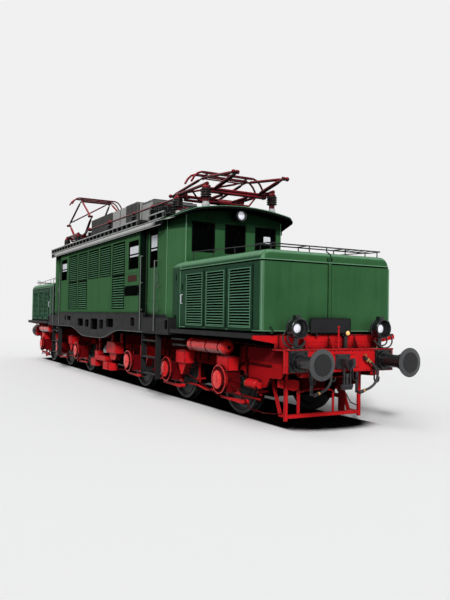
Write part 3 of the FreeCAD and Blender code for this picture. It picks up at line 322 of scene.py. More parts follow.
def wall_zones(tree, where, base):
    """Painted light and shade: side faces lighter, painted shade under the gutter and on the walls' ends behind the
    cab doors.
    """
    across = size_along(tree, normal_of(tree), "Y")
    # Painted light: faces turned sideways take a lighter green.
    base = mix(tree, ramp(tree, across, 0.80, 0.97), base, (0.056, 0.150, 0.063))
    base = mix(tree, height_part(tree, where, 3.520, 3.545), base, (0.012, 0.040, 0.017))
    facing = size_along(tree, normal_of(tree), "X")
    along = size_along(tree, where, "X")
    inside = times(tree, ramp(tree, along, 3.40, 3.45), ramp(tree, along, 3.60, 3.64, 1.0, 0.0))
    return mix(tree, times(tree, inside, ramp(tree, facing, 0.45, 0.65)), base, (0.003, 0.009, 0.005))


def hood_zones(tree, where, base):
    """Painted shade darkens the bonnet's sides, and a painted highlight lightens its rounded edges."""
    normal = normal_of(tree)
    along, across, up = (size_along(tree, normal, axis) for axis in "XYZ")
    # Painted shade on faces turned sideways, painted highlight on the rounded edges.
    base = mix(tree, ramp(tree, across, 0.80, 0.97), base, (0.017, 0.058, 0.028))
    corner = calc(tree, "MAXIMUM", times(tree, along, across), times(tree, along, up))
    corner = calc(tree, "MAXIMUM", corner, times(tree, across, up))
    return mix(tree, ramp(tree, corner, 0.30, 0.48, 0.0, 0.75), base, (0.16, 0.31, 0.19))


def plate_zones(tree, where, base):
    """Painted shade on the frame's side plates: dark above and between the wheels, and black inside."""
    above = height_part(tree, where, 0.97, 1.01)
    inner = mix(tree, above, (0.15, 0.004, 0.006), (0.055, 0.002, 0.003))
    outer = mix(tree, above, base, (0.19, 0.008, 0.011))
    base = mix(tree, ramp(tree, size_along(tree, where, "X"), 7.05, 7.12), inner, outer)
    inside = ramp(tree, size_along(tree, where, "Y"), 0.925, 0.94, 0.9, 0.0)
    return mix(tree, inside, base, (0.006, 0.001, 0.001))


def tube_zones(tree, where, base):
    """Painted highlight: round tubes are brighter where they face up and outwards."""
    toward = dot(tree, normal_of(tree), (0.45, -0.45, 0.77))
    return mix(tree, ramp(tree, toward, 0.60, 0.94, 0.0, 0.75), base, (0.40, 0.012, 0.020))


def blade_zones(face):
    """Louvre blades are pale along their outer edge as a painted highlight, and dark within as painted shade."""
    def zones(tree, where, base):
        reach = size_along(tree, where, "Y")
        return mix(tree, ramp(tree, reach, face - 0.018, face + 0.004), (0.010, 0.036, 0.016), base)
    return zones


def buffer_zones(tree, where, base):
    """A buffer's head is darker inside a thin line, and paler around it as a painted highlight."""
    across = calc(tree, "SUBTRACT", size_along(tree, where, "Y"), BUFFER_SIDE)
    up = calc(tree, "SUBTRACT", part_of(tree, where, "Z"), BUFFER_HEIGHT + RAIL)
    radius = length_of(tree, add(tree, "ShaderNodeCombineXYZ", across, up).outputs[0])
    head = ramp(tree, size_along(tree, where, "X"), 9.235, 9.240)
    darker_middle = times(tree, head, ramp(tree, radius, 0.160, 0.163, 0.9, 0.0))
    base = mix(tree, darker_middle, base, (0.008, 0.008, 0.009))
    # Painted highlight: the head paler outside the line.
    base = mix(tree, times(tree, head, ramp(tree, radius, 0.160, 0.163)), base, (0.060, 0.063, 0.066))
    line = times(tree, ramp(tree, radius, 0.153, 0.156), ramp(tree, radius, 0.164, 0.167, 1.0, 0.0))
    return mix(tree, times(tree, line, head), base, (0.003, 0.003, 0.0035))


GREEN = (0.036, 0.118, 0.044)
# DARK_GREEN is the green's painted shade on the bonnet's sides, used on its louvre doors; seams and small fittings
# share it.
DARK_GREEN = (0.017, 0.062, 0.030)
# Painted finishes: colour, and what differs from painted()'s own values; their darkening of corners and undersides
# is painted shade, and the zones also paint light and shade.
PAINTS = {
    "body_green": dict(color=GREEN, corner_shade=0.9, line=0.016, line_depth=0.9, specular=0.0, zones=wall_zones),
    "hood_green": dict(color=GREEN, specular=0.03, zones=hood_zones, line=0.006, line_depth=0.3, corner_shade=0.9),
    "louvre_green": dict(color=(0.10, 0.24, 0.13), streaks=0.05, corner_shade=1.0, line_depth=0.0, reach=0.05,
                         specular=0.0, zones=blade_zones(WALL)),
    "hatch_green": dict(color=(0.12, 0.27, 0.16), streaks=0.05, corner_shade=1.0, line_depth=0.0, reach=0.05,
                        specular=0.0, zones=blade_zones(HOOD + 0.010)),
    "side_green": dict(color=DARK_GREEN, streaks=0.12, line_depth=0.9, specular=0.02),
    # A pale green for painted highlights along beads, seams and edges.
    "highlight_green": dict(color=(0.13, 0.29, 0.16), streaks=0.05, line_depth=0.0, corner_shade=0.2),
    "frame_grey": dict(color=(0.022, 0.022, 0.023), roughness=0.55, corner_shade=0.9, line=0.018, line_depth=1.0,
                       wear_depth=0.1),
    "edge_grey": dict(color=(0.11, 0.115, 0.11), corner_shade=0.5, line_depth=0.0),
    "roof_grey": dict(color=(0.005, 0.006, 0.006), roughness=0.65, zones=roof_zones, line_depth=0.3,
                      specular=0.0, below=1.0, wear_depth=0.05),
    "roof_steel": dict(color=(0.07, 0.075, 0.07), roughness=0.55, corner_shade=0.95, line_depth=1.0),
    "pale_steel": dict(color=(0.42, 0.43, 0.42), roughness=0.5, corner_shade=0.4, line_depth=0.3),
    "duct_grey": dict(color=(0.15, 0.15, 0.145), roughness=0.55, corner_shade=1.0, line=0.016, line_depth=1.0,
                      reach=0.14, deep=(0.3, 0.8)),
    "panel_grey": dict(color=(0.38, 0.38, 0.37), roughness=0.55, corner_shade=0.95, line=0.020, line_depth=1.0,
                       reach=0.12),
    "gear_red": dict(color=(0.68, 0.012, 0.016), roughness=0.36, corner_shade=0.98, reach=0.24, deep=(0.32, 0.70),
                     line=0.022, line_depth=0.95, specular=0.04, below=0.9),
    "tank_red": dict(color=(0.90, 0.020, 0.020), roughness=0.24, corner_shade=0.98, reach=0.16, deep=(0.10, 0.40),
                     specular=0.25, streaks=0.0, below=0.7),
    "plate_red": dict(color=(0.46, 0.010, 0.013), roughness=0.45, corner_shade=0.98, reach=0.34, below=0.9,
                      deep=(0.40, 0.80), line=0.022, line_depth=0.95, specular=0.0, zones=plate_zones),
    "dark_red": dict(color=(0.10, 0.003, 0.005), roughness=0.42, corner_shade=0.98, reach=0.35, line=0.014,
                     specular=0.0, below=0.9),
    "pantograph_red": dict(color=(0.085, 0.002, 0.006), roughness=0.32, corner_shade=0.95, reach=0.20, line_depth=0.6,
                           specular=0.12, deep=(0.40, 0.90), below=1.0, zones=tube_zones),
    "black_paint": dict(color=(0.008, 0.0085, 0.010), roughness=0.24, wear=(0.16, 0.16, 0.17), specular=0.5,
                        line_depth=0.5),
    "black_steel": dict(color=(0.008, 0.0085, 0.010), roughness=0.34, wear=(0.2, 0.2, 0.21), line_depth=0.5,
                        specular=0.2),
    "window_black": dict(color=(0.0025, 0.0028, 0.0028), roughness=0.6, specular=0.0, wear_depth=0.05),
    "plate_brown": dict(color=(0.075, 0.034, 0.030), specular=0.0),
    "buffer_steel": dict(color=(0.012, 0.013, 0.015), roughness=0.26, specular=0.35, wear=(0.3, 0.3, 0.32),
                         line=0.018, line_depth=0.9, corner_shade=0.95, zones=buffer_zones),
    "wheel_steel": dict(color=(0.050, 0.056, 0.054), roughness=0.4, corner_shade=0.98, reach=0.30,
                        dirt_and_shade_color=(0.002, 0.002, 0.002), line=0.016, specular=0.06, metallic=0.2),
    "cab_inside": dict(color=(0.0015, 0.0018, 0.0017), roughness=0.8, specular=0.01),
    "tank_grey": dict(color=(0.20, 0.21, 0.22), roughness=0.6),
    # Near black, used by the plates between the wheels, which stand in as painted shade inside the bogies.
    "motor_iron": dict(color=(0.003, 0.003, 0.0035), roughness=0.8, specular=0.02),
    # Near black, for dark joints and for sheets that stand in as painted shade behind openings and under the body.
    "gap_and_shade_black": dict(color=(0.001, 0.0012, 0.0012), roughness=0.9, corner_shade=0.0, streaks=0.0, line_depth=0.0,
                      wear_depth=0.0, specular=0.0),
    "curtain": dict(color=(0.72, 0.74, 0.78), roughness=0.8, corner_shade=0.15, streaks=0.1, line_depth=0.0),
    "beige": dict(color=(0.42, 0.34, 0.25), roughness=0.6, corner_shade=0.4, streaks=0.1, line_depth=0.0),
    "porcelain": dict(color=(0.006, 0.008, 0.007), roughness=0.24, specular=0.3, corner_shade=0.6, line_depth=0.0),
    "cone_white": dict(color=(0.52, 0.54, 0.53), roughness=0.4, line_depth=0.0),
}
FINISH = {name: painted(name, **settings) for name, settings in PAINTS.items()}
FINISH.update({
    "dark_steel": metal("dark_steel", (0.035, 0.035, 0.04), roughness=0.42, metallic=0.5),
    "rail_steel": metal("rail_steel", (0.13, 0.155, 0.14), roughness=0.4, metallic=0.3, amount=0.3),
    "brass": metal("brass", (0.60, 0.33, 0.10), roughness=0.35),
    "hose_rubber": rubber("hose_rubber"),
    "window_glass": glass("window_glass"),
    "lens_white": glowing("lens_white", (0.80, 0.81, 0.88), 0.35),
    "lens_amber": glowing("lens_amber", (0.95, 0.50, 0.16), 0.6),
})


# -------- mesh building


def circle(centre, across, other, radius, sides):
    """Points around a circle, from one direction towards the other."""
    angles = [2 * math.pi * step / sides for step in range(sides)]
    return [centre + (across * math.cos(angle) + other * math.sin(angle)) * radius for angle in angles]


def ring(inner, outer, width):
    """The lathe profile of a flat ring."""
    return [(0, inner), (0, outer), (width, outer), (width, inner)]


def ribs_of(count, first, pitch, rib):
    """The lathe profile of an insulator: the same rib several times, a pitch apart."""
    return [(first + pitch * number + along, radius) for number in range(count) for along, radius in rib]


def flip(mesh, axis):
    """Makes a mesh its own mirror image along an axis."""
    number = "XYZ".index(axis)
    for vertex in mesh.verts:
        vertex.co[number] = -vertex.co[number]
    bmesh.ops.reverse_faces(mesh, faces=mesh.faces[:])


class Piece:
    """Collects simple solids, heights above the rail, and makes one mesh object of them."""

    def __init__(self):
        self.mesh = bmesh.new()

    def box(self, x, y, z):
        (x0, x1), (y0, y1), (z0, z1) = sorted(x), sorted(y), sorted(z)
        corners = [self.mesh.verts.new((px, py, pz)) for px in (x0, x1) for py in (y0, y1) for pz in (z0, z1)]
        for face in ((0, 1, 3, 2), (4, 6, 7, 5), (0, 4, 5, 1), (2, 3, 7, 6), (0, 2, 6, 4), (1, 5, 7, 3)):
            self.mesh.faces.new([corners[number] for number in face])
        return self

    def boxes(self, *rows):
        for row in rows:
            self.box(*row)
        return self

    def border(self, axis, depth, first, second, inside, outside=0.0):
        """Four bars around an opening in the two axes other than axis, from outside its edge to inside."""
        (a0, a1), (b0, b1) = first, second
        tall = (b0 - outside, b1 + outside)
        for spans in (
            [(a0 - outside, a0 + inside), tall],
            [(a1 - inside, a1 + outside), tall],
            [(a0, a1), (b0 - outside, b0 + inside)],
            [(a0, a1), (b1 - inside, b1 + outside)],
        ):
            spans.insert("XYZ".index(axis), depth)
            self.box(*spans)
        return self

    def prism(self, outline, axis, low, high):
        """An outline of pairs, in the two axes other than axis and in their order, from low to high."""
        rings = []
        for along in (low, high):
            spots = [list(pair) for pair in outline]
            for spot in spots:
                spot.insert("XYZ".index(axis), along)
            rings.append([self.mesh.verts.new(spot) for spot in spots])
        return self.skin([rings], rings)

    def skin(self, pairs, caps):
        """Faces between pairs of rings, and one over each cap; a ring may be a single point."""
        faces = []
        for first, second in pairs:
            sides = max(len(first), len(second))
            for step in range(sides):
                after = step + 1
                corners = [first[step % len(first)], first[after % len(first)],
                           second[after % len(second)], second[step % len(second)]]
                faces.append(self.mesh.faces.new(list(dict.fromkeys(corners))))
        faces += [self.mesh.faces.new(cap) for cap in caps if len(cap) > 1]
        bmesh.ops.recalc_face_normals(self.mesh, faces=faces)
        return self

    def lathe(self, start, along, profile, sides=24):
        """A round solid from pairs of distance along its axis and radius.

        Four or more pairs that end at the radius they begin with make an open ring.
        """
        start, along = Vector(start), Vector(along).normalized()
        across = along.orthogonal().normalized()
        other = along.cross(across)
        rings = []
        for distance, radius in profile:
            centre = start + along * distance
            spots = circle(centre, across, other, radius, sides) if radius > 0 else [centre]
            rings.append([self.mesh.verts.new(spot) for spot in spots])
        if len(profile) > 3 and profile[0][1] == profile[-1][1] > 0:
            return self.skin(zip(rings, rings[1:] + rings[:1]), ())
        return self.skin(zip(rings, rings[1:]), (rings[0], rings[-1]))

    def rod(self, start, end, radius, sides=12):
        start, end = Vector(start), Vector(end)
        return self.lathe(start, end - start, [(0, radius), ((end - start).length, radius)], sides)

    def ball(self, centre, radius, sides=12):
        steps = sides // 2
        turns = [math.pi * step / steps for step in range(1, steps)]
        profile = [(-radius * math.cos(turn), radius * math.sin(turn)) for turn in turns]
        return self.lathe(centre, UP, [(-radius, 0), *profile, (radius, 0)], sides)

    def bent_rod(self, points, radius, sides=10):
        """Straight rods with a ball at each joint."""
        for first, second in zip(points, points[1:]):
            self.rod(first, second, radius, sides)
        for point in points[1:-1]:
            self.ball(point, radius, sides)
        return self

    def tube(self, points, radius, sides=12):
        """A tube that follows points on a smooth curve."""
        points = [Vector(point) for point in points]
        rings, across = [], None
        for before, point, after in zip(points[:1] + points, points, points[1:] + points[-1:]):
            run = (after - before).normalized()
            if across is None:
                across = run.orthogonal().normalized()
            across = (across - run * across.dot(run)).normalized()
            spots = circle(point, across, run.cross(across), radius, sides)
            rings.append([self.mesh.verts.new(spot) for spot in spots])
        return self.skin(zip(rings, rings[1:]), (rings[0], rings[-1]))

    def rivets(self, start, end, count, radius, out):
        """A row of round rivet heads, each standing out along the given direction."""
        start, end = Vector(start), Vector(end)
        for number in range(count):
            spot = start.lerp(end, number / max(1, count - 1))
            self.lathe(spot, out, [(0, radius), (radius * 0.35, radius * 0.85), (radius * 0.6, 0)], 8)
        return self

    def bolts(self, spots, radius, out):
        """Six-sided bolt heads."""
        for spot in spots:
            self.lathe(spot, out, [(0, radius), (radius * 0.7, radius), (radius * 0.8, radius * 0.8)], 6)
        return self

    def mirrored(self, axis="Y"):
        """Adds the mirror image of everything so far, across the middle of the locomotive."""
        copy = bmesh.ops.duplicate(self.mesh, geom=self.mesh.verts[:] + self.mesh.faces[:])["geom"]
        number = "XYZ".index(axis)
        for item in copy:
            if isinstance(item, bmesh.types.BMVert):
                item.co[number] = -item.co[number]
        faces = [item for item in copy if isinstance(item, bmesh.types.BMFace)]
        bmesh.ops.reverse_faces(self.mesh, faces=faces)
        return self

    def make(self, name, finish, body="root", mirror_x=False, bevel=0.0):
        """The object, on its body, with its finish; mirror_x makes the rear end's image."""
        data = bpy.data.meshes.new(name)
        mesh = self.mesh.copy()
        if mirror_x:
            flip(mesh, "X")
        for vertex in mesh.verts:
            vertex.co.z += RAIL
        mesh.to_mesh(data)
        mesh.free()
        piece = place(name, data)
        data.materials.append(FINISH[finish])
        data.shade_smooth()
        if bevel:
            rounding = piece.modifiers.new("rounding", "BEVEL")
            rounding.width = bevel
            rounding.segments = 2
            rounding.limit_method = "ANGLE"
            rounding.angle_limit = math.radians(40)
        data.set_sharp_from_angle(angle=math.radians(35))
        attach(piece, body)

    def make_both(self, name, finish, body="{end}_bogie", bevel=0.0):
        """The front end's object and its mirror image at the rear."""
        for end, sign in ENDS:
            self.make("%s_%s" % (end, name), finish, body.format(end=end), sign < 0, bevel)


def pieces(count):
    """That many empty pieces."""
    return [Piece() for number in range(count)]


# -------- brake hoses

# Routes of the front bogie's hoses: X, Y, height above the rail.
HOSES = {
    "left": [
        (8.735, 0.510, 1.045), (8.762, 0.589, 0.988), (8.784, 0.638, 0.903), (8.795, 0.648, 0.805),
        (8.793, 0.618, 0.712), (8.783, 0.553, 0.639), (8.768, 0.466, 0.593), (8.752, 0.373, 0.561),
    ],
    "right": [
        (8.735, -0.440, 1.045), (8.764, -0.372, 0.981), (8.786, -0.330, 0.898), (8.797, -0.318, 0.806),
        (8.795, -0.338, 0.716), (8.785, -0.388, 0.639), (8.770, -0.462, 0.585), (8.755, -0.545, 0.556),
    ],
}
HOSE_RADIUS = 0.021


def make_hoses():
    """Four rubber brake hoses on smooth curves, each with its two clamps."""
    for end, sign in ENDS:
        for side, route in HOSES.items():
            name = "%s_%s_hose" % (end, side)
            data = bpy.data.curves.new(name, "CURVE")
            data.dimensions = "3D"
            spline = data.splines.new("NURBS")
            spline.points.add(len(route) - 1)
            for point, (x, y, z) in zip(spline.points, route):
                point.co = (x * sign, y, z + RAIL, 1)
            spline.order_u = 3
            spline.use_endpoint_u = True
            spline.resolution_u = 10
            data.bevel_depth = HOSE_RADIUS
            data.bevel_resolution = 5
            data.use_fill_caps = True
            data.materials.append(FINISH["hose_rubber"])
            hose = place(name, data)
            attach(hose, end + "_bogie")
            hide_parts("%s_%s_brake_hose" % (end, side))
    for side, route in HOSES.items():
        clamps = Piece()
        for first, second in ((route[0], route[1]), (route[-1], route[-2])):
            run = (Vector(second) - Vector(first)).normalized()
            clamps.lathe(Vector(first) + run * 0.004, run, ring(0.024, 0.027, 0.026))
        clamps.make_both(side + "_hose_clamps", "brass")


make_hoses()


# -------- CAD finishes

# Finish of each kind of CAD node; a node not named here keeps its slot's own finish.
NODE_FINISH = {
    "hood": "hood_green",
    "louvre_doors": "side_green",
    "buffers": "buffer_steel",
    "headlamps": "black_paint",
    "bogie_frame": "plate_red",
    "air_tanks": "tank_red",
}


def finish_frame():
    """Gives each carried-over CAD node its procedural finish."""
    slots = {row["node"]: row["material_slot"] for row in frame["record"]["subparts"]}
    for name, piece in frame["nodes"].items():
        kind = name.split("_", 1)[1] if name.startswith(("front_", "rear_")) else name
        finish = FINISH[NODE_FINISH.get(kind, slots[name])]
        piece.data.materials.clear()
        piece.data.materials.append(finish)


finish_frame()


# -------- body side

# Louvre openings of a long wall: middle, width, low, high.
LOUVRES = [(x, 0.86, 2.72, 3.48) for x in (-2.04, -1.02, 0.0, 1.02, 2.04)]
LOUVRES += [(x, 0.86, 1.89, 2.69) for x in (-2.04, -1.02, 2.04)]


def slats(piece, low_x, high_x, face, low, high, pitch, depth, thickness, proud):
    """Sloping blades across an opening in a wall whose outside is at Y = face, on the left side."""
    count = max(2, round((high - low) / pitch))
    step = (high - low) / count
    outer, inner = face + proud, face - depth
    for number in range(count):
        front = low + step * (number + 0.10)
        back = low + step * (number + 0.62)
        piece.prism([(outer, front), (outer, front + thickness), (inner, back + thickness), (inner, back)],
                    "X", low_x, high_x)


def make_wall_louvres():
    """Blades, rims, and black sheets behind the blades as painted shade, of the louvres in the long walls."""
    blades, gaps, rims = pieces(3)
    depth = (WALL - 0.002, WALL + 0.006)
    for middle, width, low, high in LOUVRES:
        x0, x1 = middle - width / 2, middle + width / 2
        slats(blades, x0 + 0.012, x1 - 0.012, WALL, low + 0.01, high - 0.01, 0.058, 0.026, 0.007, 0.004)
        gaps.box((x0, x1), (WALL - 0.0345, WALL - 0.0315), (low, high))
        for x in ((x0 - 0.008, x0 + 0.012), (x1 - 0.012, x1 + 0.016)):
            rims.box(x, depth, (low - 0.016, high + 0.010))
        for z in ((low - 0.009, low + 0.005), (high - 0.005, high + 0.006)):
            rims.box((x0, x1), depth, z)
    blades.mirrored().make("wall_louvre_blades", "louvre_green")
    gaps.mirrored().make("wall_louvre_shade", "gap_and_shade_black")
    rims.mirrored().make("wall_louvre_rims", "window_black")


def window_sash(x, y_out, low, high):
    """A drop window on the left wall: frame, dark pane, and pale blind above the sash rail."""
    bar = 0.03
    middle = low + (high - low) * 0.47
    inner = (x[0] + bar, x[1] - bar)
    frame_bars, pane, blind = pieces(3)
    frame_bars.border("Y", (y_out - 0.03, y_out + 0.006), x, (low, high), bar)
    pane.box(inner, (y_out - 0.024, y_out - 0.018), (low + bar, high - bar))
    blind.box(inner, (y_out - 0.017, y_out - 0.010), (middle - 0.022, middle + 0.012))
    blind.box(inner, (y_out - 0.017, y_out - 0.012), (middle + 0.05, high - bar - 0.10))
    return frame_bars, pane, blind


def make_side_windows():
    """Both windows of a long wall and their images; each part is one piece."""
    parts = window_sash((-3.38, -2.74), WALL - 0.012, 2.79, 3.44)
    for part, name, finish, bevel in zip(parts, ("frames", "panes", "sashes"),
                                         ("window_black", "window_glass", "curtain"), (0.004, 0.0, 0.0)):
        part.mirrored("X").mirrored().make("side_window_" + name, finish, bevel=bevel)


def make_wall_trim():
    """Gutter beads above the louvres, seams, blank plates and the sill line."""
    proud = (WALL - 0.002, WALL + 0.006)
    beads, seams, foot = pieces(3)
    for height in (3.565, 3.535):
        beads.rod((-3.45, WALL, height), (3.48, WALL, height), 0.011, 10)
    beads.box((-3.5, 3.5), (WALL - 0.002, WALL + 0.012), (1.79, 1.815))
    foot.box((-3.502, 3.502), proud, (1.788, 1.808))
    for side in SIDES:
        beads.box((side * 3.44 - 0.012, side * 3.44 + 0.012), (WALL - 0.002, WALL + 0.004), (1.815, 3.55))
        foot.box((side * 3.492 - 0.010, side * 3.492 + 0.010), proud, (1.788, 3.56))
    for x in (-2.55, -1.53, -0.51, 0.51, 1.53, 2.6):
        seams.box((x - 0.003, x + 0.003), (WALL - 0.001, WALL + 0.0015), (1.82, 3.52))
    seams.box((-3.43, 3.43), (WALL - 0.001, WALL + 0.0015), (2.703, 2.708))
    beads.mirrored().make("wall_beads", "body_green", bevel=0.003)
    seams.mirrored().make("wall_seams", "side_green")
    foot.mirrored().make("wall_foot_shade", "gap_and_shade_black")
    plate = Piece().box((2.52, 3.45), (WALL, WALL + 0.010), (2.18, 2.41))
    plate.mirrored().make("side_number_plates", "window_black", bevel=0.004)
    small_plate = Piece().box((2.72, 3.29), (WALL, WALL + 0.008), (2.51, 2.65))
    small_plate.mirrored().make("side_small_plates", "plate_brown", bevel=0.003)
    bolts = Piece()
    bolts.bolts([(x, WALL + 0.010, z) for x in (2.55, 3.42) for z in (2.21, 2.38)], 0.009, LEFT)
    bolts.bolts([(x, WALL + 0.008, z) for x in (2.74, 3.27) for z in (2.53, 2.63)], 0.006, LEFT)
    bolts.mirrored().make("side_plate_bolts", "rail_steel")


def make_doors():
    """Window, handle and kick plate of each cab door, riding on its door."""
    for end, x_sign in ENDS:
        for side, y_sign in (("left", 1), ("right", -1)):
            door = "%s_%s_door" % (end, side)
            low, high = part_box(door)
            face = max(abs(low.y), abs(high.y))
            handle, sheet = pieces(2)
            handle.rod((4.19, face + 0.03, 2.45), (4.19, face + 0.03, 2.62), 0.008)
            for height in (2.45, 2.62):
                handle.rod((4.19, face, height), (4.19, face + 0.03, height), 0.008)
            handle.lathe((4.19, face, 2.35), LEFT, [(0, 0.02), (0.012, 0.02), (0.014, 0.012)], 16)
            sheet.box((3.60, 4.23), (face, face + 0.004), (1.79, 2.05))
            window, pane, blind = window_sash((3.69, 4.12), face - 0.006, 2.78, 3.62)
            for piece, part, finish, bevel in (
                (window, "_window_frame", "window_black", 0.004),
                (pane, "_window_pane", "window_glass", 0.0),
                (blind, "_window_sash", "curtain", 0.0),
                (handle, "_handle", "rail_steel", 0.0),
                (sheet, "_kick_plate", "body_green", 0.002),
            ):
                if y_sign < 0:
                    flip(piece.mesh, "Y")
                piece.make(door + part, finish, door, x_sign < 0, bevel)


make_wall_louvres()
make_side_windows()
make_wall_trim()
make_doors()


# -------- cabs


def make_cab_fronts():
    """Windows, wipers, hooks and corner seams of the cabs' fronts; the seams are pale painted highlights."""
    frames, panes, wipers, hooks, seams = pieces(5)
    low, high, bar = 3.06, 3.66, 0.014
    for middle, width in ((-0.755, 0.51), (0.0, 0.48), (0.755, 0.51)):
        y0, y1 = middle - width / 2, middle + width / 2
        frames.border("X", (CAB - 0.045, CAB + 0.010), (y0, y1), (low, high), bar, 0.010)
        panes.box((CAB - 0.036, CAB - 0.028), (y0 + bar, y1 - bar), (low + bar, high - bar))
        pivot = Vector((CAB + 0.014, middle + width * 0.30, high - 0.02))
        tip = Vector((CAB + 0.004, middle - width * 0.06, low + 0.14))
        wipers.rod(pivot, pivot.lerp(tip, 0.75), 0.006, 8)
        wipers.rod(pivot.lerp(tip, 0.45), tip, 0.004, 8)
        wipers.lathe(pivot - Vector((0.02, 0, 0)), FORWARD, [(0, 0.018), (0.03, 0.018), (0.034, 0.010)], 12)
    frames.make_both("cab_window_frames", "window_black", "root", bevel=0.004)
    panes.make_both("cab_window_panes", "window_glass", "root")
    wipers.make_both("cab_wipers", "window_black", "root")
    path = ((0.012, -0.66, 3.80), (0.05, -0.66, 3.79), (0.06, -0.64, 3.745), (0.06, -0.58, 3.72),
            (0.05, -0.55, 3.75), (0.012, -0.55, 3.76))
    hooks.bent_rod([(CAB + out, y, z) for out, y, z in path], 0.008, 8)
    hooks.make_both("cab_hooks", "black_steel", "root")
    for side in SIDES:
        seams.box((4.651, 4.668), (side * 1.338, side * 1.349), (1.76, 3.72))
        seams.rod((CAB - 0.004, side * 1.149, 1.78), (CAB - 0.004, side * 1.149, 3.80), 0.011, 10)
    seams.make_both("cab_corner_seams", "highlight_green", "root")


def roof_top(y):
    """Height of the roof's outside at a distance from the middle: an arch with a straight skirt."""
    radius = 5.213
    y = abs(y)
    if y > 1.2:
        return 3.87 - 0.5 * (y - 1.2)
    return 4.01 - (radius - math.sqrt(radius ** 2 - y ** 2))


def make_gable_lines():
    """A pale line along the roof's edge over each cab, as a painted highlight."""
    spots = [(4.66, -1.50), (5.42, -1.292)] + [(5.551, -1.13 + 2.26 * step / 16) for step in range(17)]
    spots += [(5.42, 1.292), (4.66, 1.50)]
    line = Piece().tube([(x, y, roof_top(y) - 0.010) for x, y in spots], 0.008, 8)
    line.make_both("gable_lines", "highlight_green", "root")


def make_roof_lamp():
    """Ring and lens of the lamp over the middle of each cab."""
    rim, lens = pieces(2)
    rim.lathe((CAB + 0.215, 0, 3.84), FORWARD, [(0, 0.090), (0, 0.122), (0.045, 0.122), (0.050, 0.090)], 32)
    lens.lathe((CAB + 0.20, 0, 3.84), FORWARD, [(0, 0.089), (0.03, 0.084), (0.045, 0.050), (0.05, 0)], 32)
    rim.make_both("roof_lamp_ring", "black_paint", "root")
    lens.make_both("roof_lamp_lens", "lens_white", "root")


make_cab_fronts()
make_gable_lines()
make_roof_lamp()


# -------- hoods

HOOD_SHOULDER = 2.64
HOOD_ROUND = 0.18
CORNER = 0.09
BEAD = 2.655
# Hatches of a hood: rear edge, front edge.
HATCHES = [(5.61, 6.37), (6.45, 7.20), (7.29, 8.07)]
QUARTER = [math.pi / 2 * step / 8 for step in range(9)]


def hood_arch(x):
    """Points across the hood's outside, from its right bottom edge over the top to the left."""
    middle = HOOD - HOOD_ROUND
    left = [(x, middle + HOOD_ROUND * math.cos(a), HOOD_SHOULDER + HOOD_ROUND * math.sin(a)) for a in QUARTER]
    left = [(x, HOOD, 1.50)] + left
    return [(x, -y, z) for x, y, z in left] + left[::-1]


def make_hood_trim():
    """Lines around the hood: bead, foot, seam beside the cab, centre strip and corner edges; the pale lines are
    painted highlights, the black ones under the bead and foot painted shade.
    """
    side = [(5.34, -HOOD), (6.8, -HOOD)]
    corner_x, corner_y = HOOD_FRONT - CORNER, -HOOD + CORNER
    side += [(corner_x + CORNER * math.sin(a), corner_y - CORNER * math.cos(a)) for a in QUARTER]
    around = side + [(x, -y) for x, y in reversed(side)]
    for name, finish, height, radius, sides in (
        ("hood_bead", "highlight_green", BEAD, 0.010, 10),
        ("hood_bead_shade", "gap_and_shade_black", BEAD - 0.018, 0.010, 8),
        ("hood_foot_line", "highlight_green", 1.520, 0.008, 8),
        ("hood_foot_shade", "gap_and_shade_black", 1.494, 0.016, 8),
    ):
        Piece().tube([(x, y, height) for x, y in around], radius, sides).make_both(name, finish)
    Piece().tube(hood_arch(5.34), 0.007, 8).make_both("hood_seam", "highlight_green")
    rise = (1.52, BEAD - 0.012)
    strip = Piece().box((HOOD_FRONT - 0.004, HOOD_FRONT + 0.010), (-0.032, 0.032), rise)
    strip.make_both("hood_centre_strip", "body_green", bevel=0.003)
    lines, edges = pieces(2)
    for side in SIDES:
        lines.box((HOOD_FRONT - 0.004, HOOD_FRONT + 0.003), (side * 0.033, side * 0.041), rise)
        corner = (HOOD_FRONT - 0.018, side * (HOOD - 0.018))
        edges.rod((*corner, 1.52), (*corner, 2.62), 0.013, 10)
    lines.make_both("hood_centre_gaps", "gap_and_shade_black")
    edges.make_both("hood_corner_edges", "highlight_green")


def make_hatches():
    """Louvred hatches of the hood's sides, with their rims, latches and gaps, and black sheets behind the blades as
    painted shade.
    """
    blades, shade_sheets, rims, latches, gaps = pieces(5)
    flush = (HOOD - 0.001, HOOD + 0.002)
    for rear, front in HATCHES:
        x0, x1 = rear + 0.05, front - 0.05
        slats(blades, x0 + 0.004, x1 - 0.004, HOOD + 0.006, 1.575, 2.52, 0.0475, 0.028, 0.006, 0.010)
        shade_sheets.box((x0, x1), (HOOD - 0.0248, HOOD - 0.022), (1.57, 2.525))
        rims.border("Y", (HOOD + 0.010, HOOD + 0.024), (x0, x1), (1.57, 2.525), 0.002, 0.012)
        for z in (1.62, 2.04, 2.46):
            latches.lathe((rear + 0.024, HOOD + 0.014, z), LEFT, [(0, 0.014), (0.012, 0.014), (0.016, 0.008)], 12)
            latches.box((rear + 0.016, rear + 0.032), (HOOD + 0.026, HOOD + 0.034), (z - 0.045, z + 0.012))
        gaps.box((front + 0.010, front + 0.022), flush, (1.49, 2.60))
        gaps.box((rear - 0.006, rear - 0.001), flush, (1.49, 2.60))
    blades.mirrored().make_both("hatch_blades", "hatch_green")
    shade_sheets.mirrored().make_both("hatch_shade", "gap_and_shade_black")
    rims.mirrored().make_both("hatch_rims", "hatch_green", bevel=0.002)
    latches.mirrored().make_both("hatch_latches", "side_green", bevel=0.002)
    gaps.mirrored().make_both("hatch_gaps", "gap_and_shade_black")


